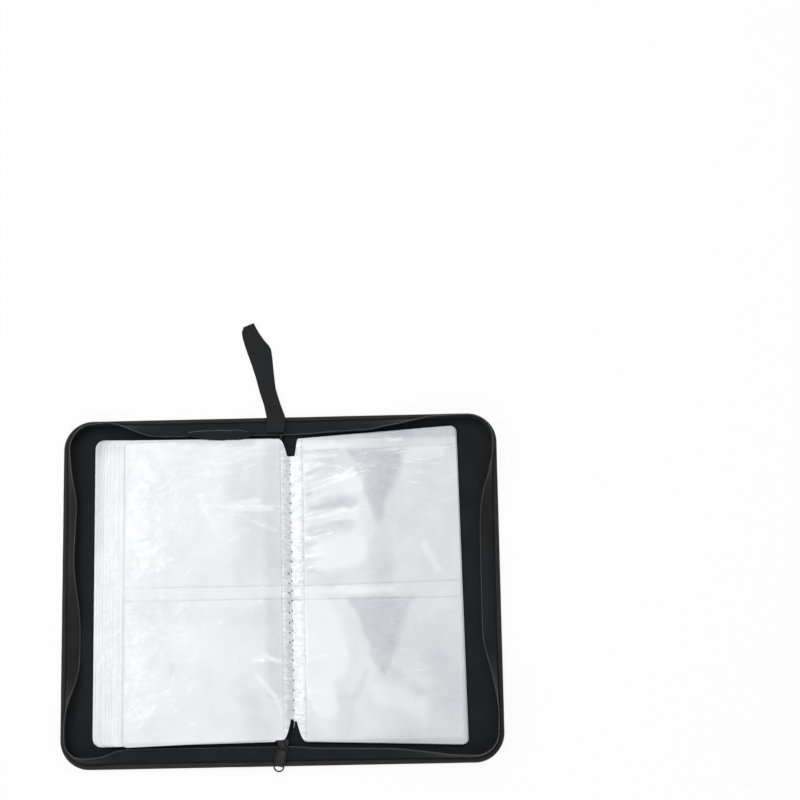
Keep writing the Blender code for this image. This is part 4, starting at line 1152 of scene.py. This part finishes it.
class MakeSleeves(bpy.types.Operator):
    """Makes the folded sleeve sheets and the thread that sews them in"""

    bl_idname = "wallet.make_sleeves"
    bl_label = "Sleeves"

    def execute(self, context):
        sizes, colours = context.scene.wallet_sizes, context.scene.wallet_colours
        film = sleeve_film(colours)
        for number in range(1, OPEN_AT):
            lowest = 2 * (number - 1)
            edges = [LEFT_EDGE - step for step in STACK_LEFT[lowest:lowest + 2]]
            self.folded(number, -1, edges, lowest, film, sizes)
        for number in range(SHEET_COUNT, OPEN_AT, -1):
            lowest = 2 * (SHEET_COUNT - number)
            edges = [RIGHT_EDGE + step for step in STACK_RIGHT[lowest:lowest + 2]]
            self.folded(number, 1, edges, lowest, film, sizes)
        left_leaf = self.open_halves(film, sizes)
        self.sewing(left_leaf, sizes, colours)
        self.thread_end(left_leaf, colours)
        return {"FINISHED"}

    def folded(self, number, side, edges, lowest, film, sizes):
        """A sheet folded at its sewing line, with both leaves on one side."""
        sew_x = sew_line(number)
        leaves = [Leaf(
            side, sew_x, edge_x, LEAF_BASE + FOLD_PITCH * (level - lowest), LEAF_BASE + LEAF_PITCH * level,
            flare=(1.8 * MM, (3.4 - 0.3 * level) * MM) if side < 0 else FLARE_RIGHT,
            tilt=1.3 * MM * math.sin(2.4 * level) if side < 0 else TILT_RIGHT,
            corner=LOW_CORNER if side < 0 and lowest < 4 else LEAF_CORNER,
        ) for level, edge_x in enumerate(edges, lowest)]
        lower, upper = leaves
        turn = FOLD_PITCH * math.pi / 4
        lower_columns, upper_columns = [
            [value for value in leaf_columns(leaf, 6 * MM) if value >= 0] for leaf in leaves]
        across = joined([-turn - value for value in lower_columns], spread(-turn, turn, turn / 4),
                        [turn + value for value in upper_columns])

        def place(a, share):
            if a < -turn:
                spot = lower.at(-turn - a, share)
            elif a > turn:
                spot = upper.at(a - turn, share)
            else:
                angle = a / turn * math.pi / 2
                low, high = lower.ends(0.0)
                spot = Vector((sew_x - side * FOLD_PITCH / 2 * math.cos(angle), low + (high - low) * share,
                               LEAF_BASE + FOLD_PITCH / 2 * (1 + math.sin(angle))))
            spot.z += 0.1 * MM * ripple(spot.x, spot.y, 40 * MM, number * 3.0)
            return spot

        mesh = draw_sheet(across, leaf_shares(7 * MM, LEFT_SEAMS), place, {"tone_and_painted_light": stack_tone_and_painted_shade})
        scale_map(mesh, along=2 * LEAF_HALF)
        name = "sleeve_sheet_%d" % number
        piece = finish_piece("film_" + name, mesh, film, sizes.sleeve, sharp=70)
        self.dress(piece, name, side, sew_x, lowest, across[-1] - across[0])

    def open_halves(self, film, sizes):
        """The sheet at the opening, with one leaf on each side of its sewing line. Returns the left leaf."""
        sew_x = sew_line(OPEN_AT)
        root = LEAF_BASE + 0.4 * MM
        left = Leaf(-1, sew_x, LEFT_EDGE, root, LEAF_BASE + LEAF_PITCH * len(STACK_LEFT),
                    flare=(2.8 * MM, -1.5 * MM), tilt=0.6 * MM, droop=1.3 * MM, trim=1.5 * MM)
        right = Leaf(1, sew_x, RIGHT_EDGE, root, LEAF_BASE + LEAF_PITCH * len(STACK_RIGHT) + 0.5 * MM,
                     flare=FLARE_RIGHT, tilt=TILT_RIGHT, droop=0.2 * MM)
        for leaf, label, folds, seams, tone_and_painted_light in (
                (left, "left", FOLDS_LEFT, LEFT_SEAMS, left_tone_and_painted_light),
                (right, "right", FOLDS_RIGHT, RIGHT_SEAMS, right_tone_and_painted_light)):
            side = leaf.side
            leaf.flange, leaf.drift = OPEN_FLANGE[side], sewing_drift
            leaf.swell = pocket_swell(folds, seams, 30.0 + side)
            marks = {"tone_and_painted_light": tone_and_painted_light, "weld": weld_mark(leaf, seams), "crinkle": flange_mark(side)}
            mesh = draw_sheet(leaf_columns(leaf, 1.7 * MM), leaf_shares(1.7 * MM, seams), leaf.at, marks)
            scale_map(mesh, along=2 * LEAF_HALF)
            name = "sleeve_sheet_%d_%s" % (OPEN_AT, label)
            piece = finish_piece("film_" + name, mesh, film, sizes.sleeve, sharp=80)
            self.dress(piece, name, side, sew_x, (leaf.level - LEAF_BASE) / LEAF_PITCH, leaf.width)
        return left

    def dress(self, piece, node, side, sew_x, level, width):
        """Hide the sleeve sheet's node, and bake the piece's place into its mesh."""
        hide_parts(node)
        bend_with(piece, side)

    def sewing(self, leaf, sizes, colours):
        """The black stitches along the opening's sewing line, with a second short row beside them."""
        thread = speckled("sewing_thread", colours.lining, 0.6, 0.3 * MM, 0.04 * MM)
        low, high = leaf.ends(0.0)
        main = spread(low + 7.5 * MM, high - 7 * MM, sizes.hole_pitch)
        places = [(0.0, y) for y in main]
        places += [(2.1 * MM, y - 2 * MM) for y in main if -44 * MM < y < 20 * MM]
        size = Matrix.Diagonal((0.62 * MM, 0.72 * MM, 0.45 * MM, 1))
        beads = []
        for offset, y in places:
            sway = 0.35 * MM * ripple(offset, y, 6 * MM, 71.0)
            spot = leaf.at(offset, (y - low) / (high - low)) + Vector((sway, 0, 0.5 * MM))
            beads.append(Matrix.Translation(spot) @ size)
        mesh = bmesh.new()
        add_beads(mesh, beads, 10, 7)
        piece = finish_piece("sleeve_stitches", mesh, thread)
        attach(piece, "spine")

    def thread_end(self, leaf, colours):
        """The pale core of the thread, left long past the last stitch and lying in a loose wave."""
        core = speckled("thread_core", colours.sleeve_shade, 0.6, 0.3 * MM, 0.03 * MM)
        low = leaf.ends(0.0)[0]
        start_x, start_y = leaf.sew_x + sewing_drift(low), low + 1.5 * MM

        def place(angle, run):
            sway = 0.5 * MM * math.sin(run / (2.4 * MM))
            height = LEAF_BASE + (0.75 - 0.4 * ease(run / (3 * MM))) * MM
            return Vector((start_x + sway + THREAD_RADIUS * math.cos(angle),
                           start_y - run, height + THREAD_RADIUS * math.sin(angle)))

        mesh = draw_tube(8, spread(0, THREAD_LENGTH, 0.8 * MM), place)
        piece = finish_piece("sewing_thread_end", mesh, core)
        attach(piece, "spine")


class MakeStrap(bpy.types.Operator):
    """Makes the wrist strap, a flattened loop of ribbon at the spine's top end"""

    bl_idname = "wallet.make_strap"
    bl_label = "Wrist strap"

    def execute(self, context):
        webbing = grosgrain("strap_grosgrain", context.scene.wallet_colours.webbing, 1.3 * MM)
        gap = STRAP_GAP / MM
        upper = [(*row[:4], row[4] + gap) for row in reversed(STRAP_ROWS)]
        tip = STRAP_ROWS[-1]
        bulge = (tip[0] + 0.3, tip[1] + 0.8, tip[2] + 0.3, tip[3] + 0.9, tip[4] + gap / 2)
        route = [*STRAP_ROWS, bulge, *upper]
        distances = [0.0]
        for rows in zip(route, route[1:]):
            middle = [((row[0] + row[2]) / 2, (row[1] + row[3]) / 2, row[4]) for row in rows]
            distances.append(distances[-1] + math.dist(*middle) * MM)

        def place(share, distance):
            last = len(distances) - 1
            index = next((i for i in range(1, last) if distance <= distances[i] + 1e-9), last)
            part = (distance - distances[index - 1]) / (distances[index] - distances[index - 1])
            left, left_y, right, right_y, height = [
                a + (b - a) * part for a, b in zip(route[index - 1], route[index])]
            crown = 0.25 * math.sin(share * math.pi)
            return Vector(((left + (right - left) * share) * MM,
                           HALF_HEIGHT + (left_y + (right_y - left_y) * share) * MM,
                           (height + 0.5 + crown) * MM))

        mesh = draw_sheet(spread(0, 1, 0.125), joined(distances, spread(0, distances[-1], 3 * MM)), place)
        scale_map(mesh, across=STRAP_WIDTH)
        bmesh.ops.smooth_vert(mesh, verts=mesh.verts, factor=0.4,
                              use_axis_x=True, use_axis_y=True, use_axis_z=True)
        piece = finish_piece("strap_loop", mesh, webbing, STRAP_CLOTH, levels=1)
        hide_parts("wrist_strap")
        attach(piece, "spine")
        return {"FINISHED"}


class MakeTapeFold(bpy.types.Operator):
    """Makes the slack end of the front zipper tape, folded flat beside the sleeves"""

    bl_idname = "wallet.make_tape_fold"
    bl_label = "Folded tape end"

    def execute(self, context):
        colours = context.scene.wallet_colours
        left, back, level = TAPE_FOLD_PLACE

        def place(angle, run):
            share = run / TAPE_FOLD_LENGTH
            body = math.sin(math.pi * min(1.0, share * 0.94 + 0.03)) ** 0.55
            half_y = 5.6 * MM * body * (0.75 + 0.35 * share)
            half_z = 2.3 * MM * body * (0.6 + 0.6 * share)
            crease = 1 + 0.2 * math.cos(4 * angle + share * 2.4) + 0.14 * ripple(run, angle * MM * 4, 7 * MM, 2.0)
            return Vector((left + run, back - 2.2 * MM * share + half_y * math.cos(angle) * crease,
                           level + half_z * math.sin(angle) * crease))

        mesh = draw_tube(20, spread(0, TAPE_FOLD_LENGTH, 1.6 * MM), place)
        scale_map(mesh, across=4 * MM)
        piece = finish_piece("tape_end_fold", mesh, tape_cloth(colours), sharp=50)
        bend_with(piece, -1)
        self.coil(place, coil_nylon(colours))
        return {"FINISHED"}

    def coil(self, place, material):
        """The teeth along the folded end, which turn under towards its right."""
        turns = []
        for run in spread(3 * MM, TAPE_FOLD_LENGTH - 2 * MM, 1.5 * MM):
            across = math.radians(66 - 70 * ease((run - 38 * MM) / (18 * MM)))
            spot = place(across, run)
            ahead = (place(across, run + 0.3 * MM) - spot).normalized()
            off = Vector((0, math.cos(across) * 0.5, math.sin(across) + 0.2)).normalized()
            off = (off - ahead * off.dot(ahead)).normalized()
            turns.append((spot + off * 0.3 * MM, ahead, off.cross(ahead).normalized(), off))
        mesh = bmesh.new()
        add_coil(mesh, turns, 0.3 * MM, (0.45 * MM, 0.8 * MM, 0.4 * MM))
        teeth = finish_piece("tape_end_coil", mesh, material)
        bend_with(teeth, -1)


class MakeStage(bpy.types.Operator):
    """Makes the pale floor, the soft lights and the camera"""

    bl_idname = "wallet.make_stage"
    bl_label = "Stage"

    def execute(self, context):
        scene = context.scene
        self.camera(scene)
        self.floor()
        self.world(scene)
        for name, place, size, power in SOFTBOXES:
            self.light(name, place, size, power)
        scene.view_settings.view_transform = "Standard"
        return {"FINISHED"}

    def camera(self, scene):
        """The camera, nearly overhead, with the case in the frame's lower left."""
        data = bpy.data.cameras.new("camera")
        data.lens = CAMERA_LENS
        data.sensor_width = 36
        camera = bpy.data.objects.new("camera", data)
        forward = CAMERA_VIEW.normalized()
        right = forward.cross(CAMERA_UP).normalized()
        camera.matrix_world = Matrix.Translation(CAMERA_PLACE) @ axes(right, right.cross(forward), -forward)
        scene.collection.objects.link(camera)
        scene.camera = camera

    def floor(self):
        """A pale floor that shows white to the camera and keeps a soft shadow."""
        mesh = bmesh.new()
        bmesh.ops.create_grid(mesh, x_segments=8, y_segments=8, size=4)
        bmesh.ops.translate(mesh, vec=(0, 0, -0.3 * MM), verts=mesh.verts)
        material, tree, shader = new_material("floor_paint", linear("#f7f7f7"), {"Roughness": 0.9})
        rays = add_node(tree, "LightPath").node.outputs
        seen = add_node(tree, "Math", {0: rays["Is Camera Ray"], 1: rays["Is Glossy Ray"]}, operation="MAXIMUM")
        share = add_node(tree, "Math", {0: seen, 1: 0.9}, operation="MULTIPLY")
        white = add_node(tree, "Emission", {"Color": (1, 1, 1, 1), "Strength": 1.0})
        mix = add_node(tree, "MixShader", {0: share, 1: shader.outputs[0], 2: white})
        tree.links.new(mix, tree.nodes["Material Output"].inputs["Surface"])
        link_mesh("floor", mesh, material)

    def world(self, scene):
        """A plain pale world, white where the camera sees it."""
        world = bpy.data.worlds.new("studio")
        world.use_nodes = True
        tree = world.node_tree
        background = tree.nodes["Background"]
        background.inputs["Color"].default_value = (1, 1, 1, 1)
        seen = add_node(tree, "LightPath", out="Is Camera Ray")
        feed(background, {"Strength": add_node(tree, "MapRange", {"To Min": 0.55, "To Max": 1.0, "Value": seen})})
        scene.world = world

    def light(self, name, place, size, power):
        """A softbox aimed at the case."""
        data = bpy.data.lights.new(name, "AREA")
        data.shape = "RECTANGLE"
        data.size, data.size_y = size
        data.energy = power
        lamp = bpy.data.objects.new(name, data)
        aim = -Vector(place)
        lamp.matrix_world = Matrix.Translation(place) @ aim.to_track_quat("-Z", "Y").to_matrix().to_4x4()
        bpy.context.collection.objects.link(lamp)


STEPS = (MakeCovers, MakeBinding, MakeZipper, MakeSlider, MakeSleeves, MakeStrap, MakeTapeFold, MakeStage)


class WalletPanel(bpy.types.Panel):
    """Lists the wallet's sizes, colours and steps"""

    bl_idname = "VIEW3D_PT_disc_wallet"
    bl_label = "Disc wallet"
    bl_space_type = "VIEW_3D"
    bl_region_type = "UI"
    bl_category = "Disc wallet"

    def draw(self, context):
        layout = self.layout
        for step in STEPS:
            layout.operator(step.bl_idname)
        for group in (context.scene.wallet_sizes, context.scene.wallet_colours):
            box = layout.box()
            for name in group.__annotations__:
                box.prop(group, name)


CLASSES = (WalletSizes, WalletColours, *STEPS, WalletPanel)


def register():
    for item in CLASSES:
        bpy.utils.register_class(item)
    bpy.types.Scene.wallet_sizes = bpy.props.PointerProperty(type=WalletSizes)
    bpy.types.Scene.wallet_colours = bpy.props.PointerProperty(type=WalletColours)


def unregister():
    del bpy.types.Scene.wallet_colours
    del bpy.types.Scene.wallet_sizes
    for item in reversed(CLASSES):
        bpy.utils.unregister_class(item)


def main():
    register()
    bpy.ops.wallet.make_covers()
    bpy.ops.wallet.make_binding()
    bpy.ops.wallet.make_zipper()
    bpy.ops.wallet.make_slider()
    bpy.ops.wallet.make_sleeves()
    bpy.ops.wallet.make_strap()
    bpy.ops.wallet.make_tape_fold()
    bpy.ops.wallet.make_stage()
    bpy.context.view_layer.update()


if __name__ == "__main__":
    main()
